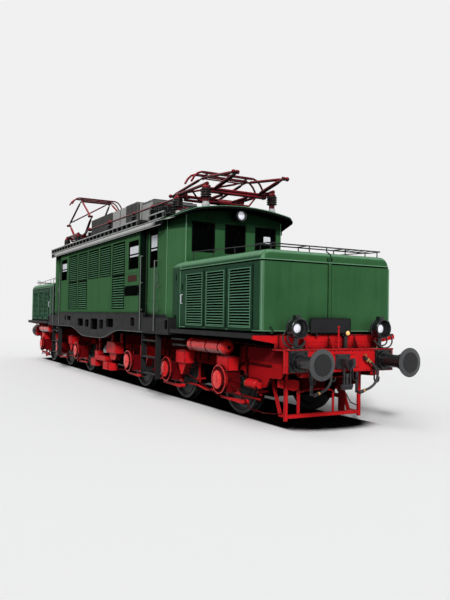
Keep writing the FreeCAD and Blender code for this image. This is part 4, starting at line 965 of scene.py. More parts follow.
def make_hood_fittings():
    """Slots, grab rails, hooks, top rails and the latch of the hood."""
    slots, grabs, hooks, rail, latch = pieces(5)
    slots.box((5.435, 5.465), (HOOD - 0.002, HOOD + 0.003), (2.24, 2.36))
    slots.box((5.14, 5.17), (HOOD - 0.002, HOOD + 0.003), (2.44, 2.56))
    slots.mirrored().make_both("hood_slots", "gap_and_shade_black")
    path = ((0, 1.98), (0.035, 1.985), (0.035, 2.145), (0, 2.15))
    grabs.bent_rod([(5.45, HOOD + out, z) for out, z in path], 0.009)
    grabs.mirrored().make_both("hood_grabs", "curtain")
    for y in (-1.17, -0.36):
        path = ((0, 0, 1.575), (0.035, 0, 1.58), (0.055, 0.01, 1.54), (0.055, 0.015, 1.51),
                (0.035, 0.01, 1.485), (0, 0, 1.49))
        hooks.bent_rod([(HOOD_FRONT + out, y + shift, z) for out, shift, z in path], 0.011, 8)
    hooks.make_both("hood_hooks", "side_green")
    height = HOOD_TOP + 0.100
    for x in (7.93, 8.24):
        rail.rod((x, -1.19, height), (x, 1.19, height), 0.011)
        for y in (-1.12, -0.36, 0.40, 1.12):
            rail.rod((x, y, HOOD_TOP - 0.012), (x, y, height), 0.010)
    for y in (-1.19, -0.40, 0.38, 1.19):
        rail.rod((7.93, y, height), (8.24, y, height), 0.009)
    for y in (0.55, 0.70, 0.85, 1.0):
        rail.box((7.93, 8.24), (y - 0.02, y + 0.02), (height - 0.006, height))
    for y in (-1.12, 1.12):
        rail.rod((5.45, y, height + 0.09), (7.93, y, height), 0.009)
        for x in (5.46, 6.3, 7.1):
            rail.rod((x, y, HOOD_TOP - 0.03), (x, y, height + 0.09 * (7.93 - x) / 2.48), 0.008)
    rail.make_both("hood_rails", "black_steel")
    latch.bent_rod([(HOOD_FRONT + 0.004, 0.03, 2.68), (HOOD_FRONT + 0.02, 0.03, 2.71),
                    (HOOD_FRONT - 0.02, 0.02, 2.80), (HOOD_FRONT - 0.09, 0.0, 2.845),
                    (8.24, 0.0, height)], 0.010, 8)
    latch.box((HOOD_FRONT - 0.02, HOOD_FRONT + 0.016), (-0.055, -0.02), (2.675, 2.73))
    latch.make_both("hood_latch", "side_green")
    lamp = Piece().box((8.13, 8.15), (-1.19, -1.07), (HOOD_TOP + 0.09, HOOD_TOP + 0.20))
    lamp.make_both("hood_corner_lamp", "curtain", bevel=0.004)


make_hood_trim()
make_hatches()
make_hood_fittings()


# -------- front beam


def make_front_lamps():
    """Rim, lens, hood edge and cable of each headlamp, and the stepped bracket beside its foot."""
    rims, lenses, wires, steps = pieces(4)
    for side in SIDES:
        y, z = side * LAMP_SIDE, LAMP_HEIGHT
        for x, profile in (
            (8.688, [(0, 0.139), (0, 0.160), (0.018, 0.160), (0.024, 0.152), (0.024, 0.139)]),
            (8.600, [(0, 0.074), (0.0, 0.118), (0.024, 0.118), (0.030, 0.074)]),
            (8.53, [(0, 0.150), (0.01, 0.158), (0.03, 0.158), (0.04, 0.150)]),
        ):
            rims.lathe((x, y, z), FORWARD, profile, 36)
        rims.bolts([(8.70, y + 0.160 * math.cos(a), z + 0.160 * math.sin(a)) for a in (0.8, 2.35, 3.9, 5.5)],
                   0.012, FORWARD)
        lenses.lathe((8.595, y, z), FORWARD, [(0, 0.073), (0.018, 0.070), (0.032, 0.045), (0.037, 0)], 36)
        for number in range(2):
            reach, drop = 0.15 + 0.05 * number, 0.11 + 0.04 * number
            loop = []
            for step in range(25):
                turn = math.pi * (0.05 + 1.30 * step / 24)
                x = 8.60 + 0.05 * math.sin(turn) + 0.02 * number
                out = 0.14 + reach * math.cos(turn) - reach
                loop.append((x, y - side * out, 1.40 - drop * math.sin(turn)))
            wires.tube(loop, 0.013, 8)
        for near, far in ((-0.19, -0.08), (0.04, 0.13)):
            steps.box((8.62, 8.655), (y + near, y + far), (1.235, 1.248))
        for near in (-0.085, 0.035):
            steps.box((8.62, 8.63), (y + near, y + near + 0.012), (1.235, 1.295))
    rims.make_both("headlamp_rims", "buffer_steel")
    lenses.make_both("headlamp_lenses", "lens_white")
    wires.make_both("headlamp_wires", "black_paint")
    steps.make_both("headlamp_feet", "beige")


def make_front_plate():
    """The blank plate at the hood's foot, with the lever and the small lamp beside it."""
    rim, brackets, lever, lamp, holder = pieces(5)
    plate = Piece().box((8.390, 8.402), (-0.44, 0.40), (1.49, 1.735))
    plate.make_both("front_number_plate", "black_steel", bevel=0.003)
    rim.border("X", (8.401, 8.406), (-0.44, 0.40), (1.49, 1.735), 0.01)
    rim.make_both("front_plate_rim", "frame_grey")
    for y in (-0.3, 0.26):
        brackets.box((8.32, 8.392), (y - 0.015, y + 0.015), (1.44, 1.62))
    brackets.make_both("front_plate_brackets", "black_steel")
    lever.rod((8.60, -0.02, 1.24), (8.60, -0.02, 1.585), 0.015)
    lever.ball((8.60, -0.02, 1.59), 0.022)
    lever.box((8.56, 8.64), (-0.06, 0.02), (1.235, 1.26))
    lever.make_both("front_lever", "gear_red")
    lamp.lathe((8.40, 0.32, 1.49), FORWARD, [(0, 0.034), (0.03, 0.036), (0.045, 0.026), (0.050, 0)], 20)
    lamp.make_both("front_marker_lamp", "lens_amber")
    holder.lathe((8.33, 0.32, 1.49), FORWARD, [(0, 0.05), (0.075, 0.056), (0.09, 0.05)], 20)
    holder.box((8.34, 8.38), (0.29, 0.35), (1.235, 1.46))
    holder.make_both("front_marker_body", "black_paint")


def make_beam_trim():
    """Rivets, flanges, bolts and hooks of the beam, and the rings of the buffers."""
    rivets, ribs, bolts, heads, cocks, hooks = pieces(6)
    for x, y0, y1, z, count, radius, out in (
        (BEAM, -1.05, 1.05, 1.205, 29, 0.011, FORWARD),
        (BEAM, -1.05, -0.30, 0.90, 11, 0.011, FORWARD),
        (BEAM, 0.30, 1.05, 0.90, 11, 0.011, FORWARD),
        (8.32, -0.95, 0.95, 1.34, 25, 0.011, FORWARD),
        (8.40, -1.05, 1.05, 1.235, 25, 0.010, UP),
    ):
        rivets.rivets((x, y0, z), (x, y1, z), count, radius, out)
    rivets.make_both("beam_rivets", "gear_red")
    ribs.box((8.60, BEAM + 0.012), (-1.105, 1.105), (1.222, 1.246))
    ribs.box((BEAM, BEAM + 0.016), (-0.34, 0.34), (0.945, 1.15))
    ribs.box((8.30, 8.325), (-1.0, 1.0), (1.452, 1.468))
    for y in (-0.98, -0.55, 0.0, 0.55, 0.98):
        ribs.box((8.32, 8.345), (y - 0.012, y + 0.012), (1.235, 1.45))
        ribs.prism([(8.32, 1.235), (8.47, 1.235), (8.36, 1.40), (8.32, 1.40)], "Y", y - 0.010, y + 0.010)
    for y in (-0.72, 0.72):
        ribs.box((BEAM - 0.05, BEAM), (y - 0.08, y + 0.08), (0.80, 0.873))
    ribs.make_both("beam_ribs", "gear_red", bevel=0.004)
    for side in SIDES:
        middle = side * BUFFER_SIDE
        spots = [(middle + y, BUFFER_HEIGHT + z) for y in (-0.145, 0.145) for z in (-0.13, 0.14)]
        bolts.bolts([(BEAM + 0.03, y, z) for y, z in spots], 0.020, FORWARD)
        for x, inner, outer, width in ((8.712, 0.110, 0.150, 0.022), (8.82, 0.1045, 0.112, 0.03),
                                       (9.09, 0.1045, 0.128, 0.05), (9.19, 0.117, 0.134, 0.02)):
            heads.lathe((x, middle, BUFFER_HEIGHT), FORWARD, ring(inner, outer, width), 40)
    bolts.bolts([(BEAM + 0.025, y, z) for y in (-0.12, 0.12) for z in (0.955, 1.135)], 0.018, FORWARD)
    bolts.make_both("beam_bolts", "buffer_steel")
    heads.make_both("buffer_rings", "buffer_steel")
    for route in HOSES.values():
        first = Vector(route[0])
        run = (Vector(route[1]) - first).normalized()
        cocks.lathe(first - run * 0.045, run, ring(0.027, 0.036, 0.03), 6)
        x, y, z = centre = first - run * 0.060
        cocks.rod(centre, (x, y, z + 0.07), 0.009)
        cocks.box((x - 0.01, x + 0.01), (y - 0.06, y + 0.012), (z + 0.062, z + 0.076))
    cocks.make_both("hose_cock_trim", "brass")
    for y, depth in ((-0.62, 0.20), (-0.22, 0.16), (0.24, 0.16), (0.70, 0.20)):
        path = [(BEAM, y - 0.05, 0.94), (BEAM + 0.04, y - 0.05, 0.92)]
        path += [(BEAM + 0.045, y - 0.05 * math.cos(a), 0.94 - depth - 0.05 * math.sin(a))
                 for a in (0.0, 0.8, 1.57, 2.34, 3.14)]
        hooks.bent_rod(path + [(BEAM + 0.045, y + 0.05, 0.86 - depth * 0.4)], 0.014, 8)
    hooks.make_both("beam_hooks", "black_steel")


def make_behind_guard():
    """What hangs behind the rail guard: black sheets as painted shade, hangers, the lever casting and a pipe."""
    hangers, dark = pieces(2)
    Piece().box((7.722, 7.738), (-0.62, 0.62), (0.40, 0.87)).make_both("guard_backing_shade", "gap_and_shade_black")
    Piece().box((7.73, 8.16), (-0.66, 0.66), (0.86, 0.872)).make_both("front_shade", "gap_and_shade_black")
    hangers.box((8.18, 8.20), (-0.54, -0.48), (0.165, 0.56))
    hangers.box((8.18, 8.20), (0.19, 0.23), (0.165, 0.50))
    hangers.prism([(-0.87, 0.73), (-0.87, 0.60), (-0.62, 0.54), (-0.50, 0.54), (-0.50, 0.70), (-0.60, 0.73)],
                  "X", 8.10, 8.20)
    hangers.bent_rod([(8.19, 0.21, 0.49), (8.22, 0.14, 0.53), (8.22, -0.10, 0.56), (8.22, -0.40, 0.54),
                      (8.19, -0.51, 0.50)], 0.016, 8)
    hangers.bent_rod([(8.30, -0.62, 0.86), (8.30, -0.60, 0.78), (8.30, -0.20, 0.74), (8.30, 0.35, 0.76),
                      (8.30, 0.62, 0.86)], 0.014, 8)
    hangers.make_both("guard_hangers", "gear_red", bevel=0.003)
    dark.boxes(
        ((8.15, 8.19), (0.35, 0.47), (0.165, 0.62)),
        ((8.10, 8.20), (0.30, 0.62), (0.58, 0.74)),
        ((7.90, 8.0), (-0.30, 0.20), (0.50, 0.80)),
    )
    dark.make_both("guard_dark_gear", "dark_red", bevel=0.004)


def make_bogie_inner_shade():
    """Near-black plates between the wheels and behind the last one, standing in as painted shade inside the bogie.
    """
    shade_plates = Piece()
    for x in ((2.64, 4.16), (4.94, 6.46), (7.26, 7.62)):
        shade_plates.box(x, (0.50, 0.56), (0.36, 1.00))
    shade_plates.mirrored().make_both("bogie_inner_shade", "motor_iron", bevel=0.004)


make_bogie_inner_shade()
make_front_lamps()
make_front_plate()
make_beam_trim()
make_behind_guard()


# -------- running gear


def make_axle_covers():
    """Rings, hub and bolts of the covers over the axles' ends."""
    rims, bolts = pieces(2)
    for x in AXLES:
        rims.lathe((x, 1.265, WHEEL), LEFT, ring(0.236, 0.252, 0.014), 40)
        rims.lathe((x, 1.292, WHEEL), LEFT, [(0, 0.165), (0.016, 0.160), (0.022, 0.10), (0.024, 0)], 36)
        rims.lathe((x, 1.312, WHEEL), LEFT, [(0, 0.04), (0.012, 0.036), (0.018, 0)], 20)
        turns = [math.pi * (step + 0.5) / 4 for step in range(8)]
        spots = [(x + 0.214 * math.cos(turn), 1.265, WHEEL + 0.214 * math.sin(turn)) for turn in turns]
        bolts.bolts(spots, 0.016, LEFT)
    rims.mirrored().make_both("axle_cover_rings", "tank_red")
    bolts.mirrored().make_both("axle_cover_bolts", "dark_red")


def make_sandbox_trim():
    """Lid, straps and filler of each sandbox."""
    trim = Piece()
    for middle in (6.88, 5.13, 3.15):
        x0, x1 = middle - 0.2, middle + 0.2
        trim.box((x0 - 0.006, x1 + 0.006), (1.0, 1.222), (1.022, 1.040))
        for x in ((x0 - 0.004, x0 + 0.014), (x1 - 0.014, x1 + 0.004)):
            trim.box(x, (1.205, 1.221), (0.80, 1.03))
        trim.rod((middle - 0.10, 1.10, 1.066), (middle + 0.10, 1.10, 1.066), 0.012)
        trim.lathe((middle, 1.1, 1.058), UP, [(0, 0.055), (0.010, 0.055), (0.014, 0.02)], 20)
    trim.mirrored().make_both("sandbox_trim", "gear_red", bevel=0.002)


def make_brake_gear():
    """Blocks, hangers, pull rods and pipes around the wheels."""
    blocks, links, pipes = pieces(3)
    turns = [math.radians(-34 + 52 * step / 6) for step in range(7)]
    reach = WHEEL + 0.012
    for x in AXLES:
        for way in SIDES:
            inner = [(x + way * reach * math.cos(turn), WHEEL + reach * math.sin(turn)) for turn in turns]
            outer = [(px + way * 0.06, pz) for px, pz in reversed(inner)]
            blocks.prism(inner + outer, "Y", 0.725, 0.805)
            foot = x + way * 0.72
            links.prism([(foot - 0.03, 1.10), (foot + 0.03, 1.10), (foot + 0.035, 0.40), (foot - 0.035, 0.40)],
                        "Y", 0.83, 0.855)
            links.rod((foot, 0.70, 0.47), (foot, 0.90, 0.47), 0.028)
        links.rod((x - 0.74, 0.87, 0.34), (x + 0.74, 0.87, 0.34), 0.020, 10)
        links.box((x - 0.30, x + 0.30), (0.99, 1.03), (0.375, 0.43))
    for x0, x1 in ((2.99, 3.81), (5.29, 6.11)):
        links.bent_rod([(x0, 0.87, 0.34), ((x0 + x1) / 2, 0.90, 0.30), (x1, 0.87, 0.34)], 0.024)
    for rear, front, z in ((4.0, 4.9, 0.30), (6.55, 7.42, 0.29), (1.75, 2.6, 0.30)):
        links.prism([(rear, z - 0.02), (front, z - 0.045), (front, z + 0.03), (rear, z + 0.02)], "Y", 1.04, 1.085)
        links.rod((front, 1.0, z), (front, 1.12, z), 0.04)
    blocks.mirrored().make_both("brake_blocks", "dark_red", bevel=0.004)
    links.mirrored().make_both("brake_links", "gear_red", bevel=0.003)
    for radius, route in (
        (0.009, [(5.16, 1.08, 0.68), (5.55, 1.10, 0.74), (6.0, 1.10, 0.92), (6.16, 1.08, 0.99)]),
        (0.012, [(5.10, 1.10, 0.62), (5.35, 1.12, 0.57), (6.0, 1.11, 0.42), (6.6, 1.09, 0.28)]),
        (0.008, [(6.98, 1.17, 0.54), (7.10, 1.16, 0.66), (7.26, 1.12, 0.70), (7.5, 1.06, 0.78)]),
        (0.010, [(7.10, 1.15, 0.55), (7.27, 1.12, 0.49), (7.45, 1.10, 0.36), (7.62, 1.08, 0.20),
                 (7.95, 1.0, 0.17), (8.15, 0.80, 0.17)]),
        (0.010, [(5.2, 1.02, 1.28), (6.0, 1.36, 1.31), (7.3, 1.36, 1.31), (8.2, 1.05, 1.27)]),
    ):
        pipes.bent_rod(route, radius)
    pipes.mirrored().make_both("brake_pipes", "dark_red")
    for name, finish, x, profile in (
        ("sander_valve", "gear_red", 7.45, [(0, 0.075), (0.012, 0.085), (0.28, 0.085), (0.30, 0.06), (0.36, 0.06)]),
        ("sander_cap", "brass", 7.405, [(0, 0.05), (0.008, 0.066), (0.047, 0.070)]),
    ):
        Piece().lathe((x, 1.02, 0.61), FORWARD, profile, 24).mirrored().make_both(name, finish)


def make_springs():
    """Leaf springs over the axle boxes, with their hangers and shackles."""
    leaves, hangers = pieces(2)
    for x in AXLES:
        for number in range(7):
            half, low = 0.50 - 0.055 * number, 0.905 - 0.017 * number
            shares = [-1 + step / 4 for step in range(9)]
            lower = [(x + share * half, low + 0.045 * share * share) for share in shares]
            leaves.prism(lower + [(px, pz + 0.015) for px, pz in reversed(lower)], "Y", 0.982, 0.996)
        for way in SIDES:
            tip = x + way * 0.50
            hangers.rod((tip, 0.99, 0.70), (tip, 0.99, 1.02), 0.018)
            hangers.box((tip - 0.03, tip + 0.03), (0.965, 1.0), (0.68, 0.73))
    leaves.mirrored().make_both("leaf_springs", "dark_red")
    hangers.mirrored().make_both("spring_hangers", "dark_red", bevel=0.002)


def make_frame_trim():
    """Rivets and ribs on the bogie's side plates, and the pipes' ends above them."""
    rivets, ribs, pipe_ends = pieces(3)
    rivets.rivets((1.35, 0.97, 1.24), (8.15, 0.97, 1.24), 60, 0.011, LEFT)
    rivets.rivets((7.35, 0.97, 0.92), (8.25, 0.97, 0.92), 9, 0.011, LEFT)
    rivets.mirrored().make_both("frame_rivets", "gear_red")
    for x in (1.75, 3.55, 3.85, 5.55, 5.9, 7.3):
        ribs.box((x - 0.02, x + 0.02), (0.968, 0.992), (0.88, 1.28))
    ribs.box((7.25, 8.1), (0.968, 0.99), (0.93, 0.96))
    ribs.mirrored().make_both("frame_ribs", "dark_red", bevel=0.003)
    for z, rear, front in ((1.27, 4.70, 5.35), (1.15, 4.75, 5.45)):
        profile = [(0, 0.035), (0.45, 0.035), (0.55, 0.018), (front - rear, 0.018)]
        pipe_ends.lathe((rear, 1.2, z), FORWARD, profile, 16)
    pipe_ends.mirrored().make_both("pipe_ends", "black_steel")


def make_tank_trim():
    """Dark bands around the long air tanks, and the plugs in their ends."""
    bands, plugs = pieces(2)
    for x in (5.84, 6.43, 6.9):
        bands.lathe((x - 0.02, 1.2, 1.197), FORWARD, ring(0.131, 0.136, 0.022), 40)
    bands.mirrored().make_both("tank_bands", "gap_and_shade_black")
    for x, way in ((5.60, -1), (7.08, 1)):
        plugs.lathe((x - way * 0.004, 1.2, 1.197), (way, 0, 0),
                    [(0, 0.03), (0.03, 0.03), (0.034, 0.018), (0.06, 0.018)], 12)
    plugs.mirrored().make_both("tank_plugs", "dark_red")


def make_wheels():
    """Tyre lines and hub bolts, which turn with each wheelset."""
    turns = [math.pi * step / 4 for step in range(8)]
    for end, sign in ENDS:
        for number, x in enumerate(AXLES, start=1):
            body = "%s_wheelset_%d" % (end, number)
            trim = Piece()
            for side in SIDES:
                out = (0, side, 0)
                trim.lathe((x, side * 0.8205, WHEEL), out, ring(0.545, 0.556, 0.006), 48)
                spots = [(x + 0.36 * math.cos(turn), side * 0.775, WHEEL + 0.36 * math.sin(turn)) for turn in turns]
                trim.bolts(spots, 0.018, out)
            trim.make(body + "_trim", "dark_red", body, sign < 0)


make_axle_covers()
make_sandbox_trim()
make_brake_gear()
make_springs()
make_frame_trim()
make_tank_trim()
make_wheels()


# -------- roof

BUSBAR = 0.86


def make_roof_ducts():
    """Ribbed boxes and switchgear along the middle of the roof."""
    ribs, panels, gear, lids = pieces(4)
    half, top, count = 0.64, 4.68, 22
    for rear, front in ((-2.90, -1.56), (-1.55, -0.21), (-0.20, 1.15)):
        for number in range(count):
            x = rear + 0.03 + (front - rear - 0.06) * number / (count - 1)
            if not -0.86 < x < 0.30:
                ribs.box((x - 0.013, x + 0.013), (-half - 0.04, half + 0.04), (3.98, top + 0.04))
    for x in ((-0.84, -0.23), (-0.18, 0.28)):
        panels.box(x, (-half - 0.03, half + 0.03), (4.0, top + 0.03))
    panels.box((1.19, 1.30), (-0.62, 0.62), (3.98, 4.69))
    for side in SIDES:
        panels.box((1.34, 2.06), (side * 0.600, side * 0.612), (4.06, 4.60))
    ribs.make("duct_ribs", "duct_grey")
    panels.make("duct_panels", "panel_grey", bevel=0.01)
    gear.box((2.14, 2.52), (-0.66, 0.66), (3.97, 4.50))
    gear.box((2.56, 2.90), (-0.58, 0.58), (3.97, 4.40))
    for x in (2.2, 2.33, 2.46, 2.62, 2.76):
        gear.box((x - 0.012, x + 0.012), (-0.69, 0.69), (4.05, 4.46 if x < 2.5 else 4.36))
    gear.make("roof_switchgear", "black_steel", bevel=0.008)
    for x in (1.36, 1.62, 1.88):
        lids.box((x - 0.09, x + 0.09), (-0.55, 0.55), (4.64, 4.685))
    lids.make("roof_box_lids", "black_steel", bevel=0.008)


def make_busbars():
    """A red busbar on its insulators at each side."""
    rail, posts, discs = pieces(3)
    rail.bent_rod([(-3.35, BUSBAR, 4.27), (-2.6, BUSBAR, 4.38), (4.05, BUSBAR, 4.33)], 0.024)
    for x in (-2.45, -0.53, 1.39, 2.64, 3.98):
        rail.ball((x, BUSBAR, 4.38 - 0.05 * (x + 2.6) / 6.65), 0.062 if x < 1 else 0.045)
        posts.rod((x, BUSBAR, 3.93), (x, BUSBAR, 4.08), 0.035)
        rib = ((0, 0.04), (0.015, 0.085), (0.035, 0.07), (0.05, 0.04))
        discs.lathe((x, BUSBAR, 4.08), UP, ribs_of(4, 0, 0.055, rib), 20)
    rail.mirrored().make("roof_busbars", "pantograph_red")
    posts.mirrored().make("busbar_posts", "roof_steel")
    discs.mirrored().make("busbar_insulators", "porcelain")


def make_walkways():
    """Boards, a pale top and bottom edge, and dark posts in front of the shade under the boards."""
    boards, edge, posts, gaps, gutter = pieces(5)
    for rear, front in ((-4.90, 3.20), (3.85, 4.70)):
        for y in (1.20, 1.255, 1.31, 1.365, 1.42):
            boards.box((rear, front), (y - 0.018, y + 0.018), (3.906, 3.918))
        for z in ((3.888, 3.914), (3.772, 3.786)):
            edge.box((rear, front), (1.44, 1.454), z)
        gaps.box((rear, front), (1.432, 1.437), (3.76, 3.89))
        count = max(2, round((front - rear) / 0.34))
        for number in range(count + 1):
            x = rear + 0.05 + (front - rear - 0.10) * number / count
            posts.box((x - 0.045, x + 0.045), (1.438, 1.450), (3.765, 3.90))
    boards.mirrored().make("walkway_boards", "roof_steel")
    edge.mirrored().make("walkway_edges", "pale_steel")
    posts.mirrored().make("walkway_posts", "roof_steel")
    gaps.mirrored().make("walkway_shade", "gap_and_shade_black")
    gutter.box((-4.65, 4.65), (1.500, 1.508), (3.61, 3.625))
    gutter.box((-4.65, 4.65), (1.500, 1.506), (3.735, 3.75))
    gutter.mirrored().make("gutter_lips", "pale_steel", bevel=0.002)


def make_insulators():
    """Ribbed discs, pale cone and red cap of each pantograph foot."""
    discs, cones, caps = pieces(3)
    ribs = ribs_of(4, 0.198, 0.047, ((0, 0.090), (0.010, 0.116), (0.028, 0.110), (0.038, 0.090)))
    cone = [(-0.025, 0.085), (0.05, 0.085), (0.10, 0.066), (0.14, 0.052), (0.19, 0.052), (0.197, 0.08)]
    for x in (middle + shift for middle in (-PANTOGRAPH, PANTOGRAPH) for shift in (-0.67, 0.67)):
        for side in SIDES:
            foot = (x, side * 0.80, 3.95)
            discs.lathe(foot, UP, ribs, 28)
            cones.lathe(foot, UP, cone, 24)
            caps.lathe(foot, UP, [(0.386, 0.085), (0.41, 0.085), (0.445, 0.06), (0.447, 0.02)], 24)
            caps.lathe((x - 0.06, side * 0.80, 4.426), FORWARD, [(0, 0.04), (0.12, 0.04)], 16)
    discs.make("pantograph_discs", "porcelain")
    cones.make("pantograph_feet", "cone_white")
    caps.make("pantograph_caps", "pantograph_red")


def make_roof_fittings():
    """Bushings, switch boxes and raising springs between the ducts and the pantographs."""
    tall, bushings, caps, springs = pieces(4)
    tall.box((3.25, 3.75), (-0.42, 0.42), (3.97, 4.22))
    tall.box((-3.55, -3.05), (-0.42, 0.42), (3.97, 4.26))
    tall.make("roof_boxes", "duct_grey", bevel=0.02)
    for x in (3.05, -3.75):
        rib = ((0, 0.05), (0.012, 0.10), (0.03, 0.085), (0.045, 0.05))
        bushings.lathe((x, -0.3, 4.0), UP, ribs_of(6, 0, 0.05, rib), 24)
        caps.lathe((x, -0.3, 4.29), UP, [(0, 0.06), (0.03, 0.06), (0.05, 0.03)], 20)
        for y in (BUSBAR, -BUSBAR):
            caps.rod((x, -0.3, 4.32), (x, y, 4.37), 0.014)
    bushings.make("roof_bushings", "porcelain")
    caps.make("roof_bushing_caps", "pantograph_red")
    for middle in (-PANTOGRAPH, PANTOGRAPH):
        for y in (-0.30, 0.30):
            springs.rod((middle - 0.56, y, 4.293), (middle + 0.56, y, 4.293), 0.012, 10)
            for rear, front in ((-0.40, -0.02), (0.06, 0.42)):
                springs.rod((middle + rear, y, 4.293), (middle + front, y, 4.293), 0.032, 14)
        springs.rod((middle, -0.62, 4.20), (middle, 0.62, 4.20), 0.030, 14)
        springs.lathe((middle, -0.16, 4.20), LEFT, [(0, 0.05), (0.02, 0.065), (0.30, 0.065), (0.32, 0.05)], 20)
        for y in (-0.62, 0.62):
            springs.rod((middle, y, 4.20), (middle, y * 1.27, 4.40), 0.020, 10)
    springs.make("raising_springs", "pantograph_red")


make_roof_ducts()
make_busbars()
make_walkways()
make_insulators()
make_roof_fittings()


# -------- pantographs

HALVES = (("fore", 1), ("aft", -1))
# The two bars of the bow, ahead of its middle and behind.
BOW = 0.155


def make_pantograph_trim():
    """Carbon strips, and the balls and collars at the knees, each on the arm that carries it."""
    for name in ("front_pantograph", "rear_pantograph"):
        low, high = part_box(name + "_head")
        middle, top = (low.x + high.x) / 2, high.z - RAIL
        strips = Piece()
        for x in (middle - BOW, middle + BOW):
            strips.box((x - 0.022, x + 0.022), (-0.60, 0.60), (top - 0.001, top + 0.004))
        strips.make(name + "_strips", "dark_steel", name + "_head")
        for half, way in HALVES:
            arm = "%s_%s_lower_arm" % (name, half)
            low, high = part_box(arm)
            x, z = (high.x - 0.025 if way > 0 else low.x + 0.025, high.z - RAIL - 0.025)
            knobs = Piece()
            for side in SIDES:
                knobs.ball((x, side * 0.628, z), 0.046, 16)
                knobs.lathe((x, side * 0.512, z), (0, side, 0), [(0, 0.040), (0.056, 0.040)], 16)
            knobs.make(arm + "_knobs", "pantograph_red", arm)


def make_pantograph_tubes():
    """The stout outer tubes of each pantograph's arms, base frame and bow."""
    # Shaft of the lower arms from the middle, its height, the arms' lengths, and the bow's half-gap.
    shaft_out, shaft_z, lower, upper, bow_out = 0.53, 4.37, 0.975, 1.43, 0.07
    for end, sign, degrees in (("front", 1, 10.0), ("rear", -1, 36.0)):
        name, middle = end + "_pantograph", sign * PANTOGRAPH
        low = math.radians(degrees)
        high = math.acos((shaft_out + lower * math.cos(low) - bow_out) / upper)
        knee_out, knee_z = shaft_out + lower * math.cos(low), shaft_z + lower * math.sin(low)
        pivot_out, pivot_z = knee_out - upper * math.cos(high), knee_z + upper * math.sin(high)
        for half, way in HALVES:
            arm, link = pieces(2)
            for side in SIDES:
                start = Vector((middle + way * shaft_out, side * 0.54, shaft_z))
                end = Vector((middle + way * knee_out, side * 0.54, knee_z))
                arm.lathe(start, end - start, [(0.05, 0.026), (0.11, 0.040), (0.72, 0.040), (0.86, 0.026)], 14)
                start = Vector((middle + way * knee_out, side * 0.590, knee_z))
                end = Vector((middle + way * pivot_out, side * 0.522, pivot_z))
                link.lathe(start, end - start, [(0.10, 0.019), (0.24, 0.031), (1.26, 0.031), (1.33, 0.019)], 14)
            if half == "aft":
                # The brace that crosses from one knee to the other side's top.
                foot = Vector((middle - knee_out - 0.12 * (pivot_out - knee_out), -0.582,
                               knee_z + 0.12 * (pivot_z - knee_z)))
                top = Vector((middle - pivot_out, 0.430, pivot_z))
                link.lathe(foot, top - foot, [(0.06, 0.014), (0.10, 0.023), (1.5, 0.023), (1.54, 0.014)], 12)
            for piece, level in ((arm, "lower"), (link, "upper")):
                label = "%s_%s_%s_" % (name, half, level)
                piece.make(label + "tubes", "pantograph_red", label + "arm")
        bow, base = pieces(2)
        for x in (middle - BOW, middle + BOW):
            bow.box((x - 0.034, x + 0.034), (-0.615, 0.615), (pivot_z + 0.060, pivot_z + 0.098))
            for side in SIDES:
                points = ((0.560, 0.088), (0.640, 0.088), (0.740, 0.050), (0.820, -0.030), (0.885, -0.140))
                bow.tube([(x, side * y, pivot_z + z) for y, z in points], 0.023, 12)
        bow.make(name + "_bow_pans", "pantograph_red", name + "_head", bevel=0.004)
        for side in SIDES:
            y, z = side * 0.80, shaft_z + 0.056
            base.rod((middle - 0.60, y, z), (middle + 0.60, y, z), 0.033, 14)
            x, z = middle + side * 0.575, shaft_z - 0.07
            base.rod((x, -0.68, z), (x, 0.68, z), 0.031, 14)
        base.make(name + "_base_tubes", "pantograph_red")


make_pantograph_trim()
make_pantograph_tubes()


# -------- frame details


def make_girder_trim():
    """Rivets along the girders, and a pale lip along their belly."""
    rivets, lips = pieces(2)
    for x0, x1, z, count in ((-3.6, 3.6, 1.76, 70), (3.74, 5.04, 1.66, 12), (-5.04, -3.74, 1.66, 12)):
        rivets.rivets((x0, WALL, z), (x1, WALL, z), count, 0.009, LEFT)
    rivets.mirrored().make("girder_rivets", "frame_grey")
    # The belly's edge: two arcs that meet halfway down, on each side of the middle.
    radius, steps = 3.071, 6
    sags = [radius - math.sqrt(radius ** 2 - (0.85 * step / steps) ** 2) for step in range(steps + 1)]
    edge = [(-3.7, 1.36)]
    edge += [(-2.3 + 0.85 * step / steps, 1.36 - sag) for step, sag in enumerate(sags)]
    edge += [(-0.6 - 0.85 * step / steps, 1.12 + sags[step]) for step in range(steps - 1, -1, -1)]
    edge += [(-x, z) for x, z in reversed(edge)]
    outline = [(x, z - 0.004) for x, z in edge] + [(x, z + 0.016) for x, z in reversed(edge)]
    lips.prism(outline, "Y", WALL - 0.01, WALL + 0.012)
    lips.mirrored().make("girder_lips", "edge_grey")


def make_girder_hole_shade():
    """Black sheets behind each opening of the girder and of the step boxes, as painted shade."""
    shade_sheets = Piece()
    for x, z in (((-2.92, -2.18), (1.53, 1.69)), ((-1.43, -0.32), (1.37, 1.63)), ((-0.17, 0.94), (1.31, 1.64)),
                 ((1.15, 1.74), (1.40, 1.65)), ((2.92, 3.19), (1.46, 1.689))):
        shade_sheets.box(x, (1.404, 1.413), z)
    for sign in SIDES:
        shade_sheets.box((sign * 4.88, sign * 5.037), (1.40, 1.425), (1.45, 1.645))
    shade_sheets.mirrored().make("girder_hole_shade", "gap_and_shade_black")


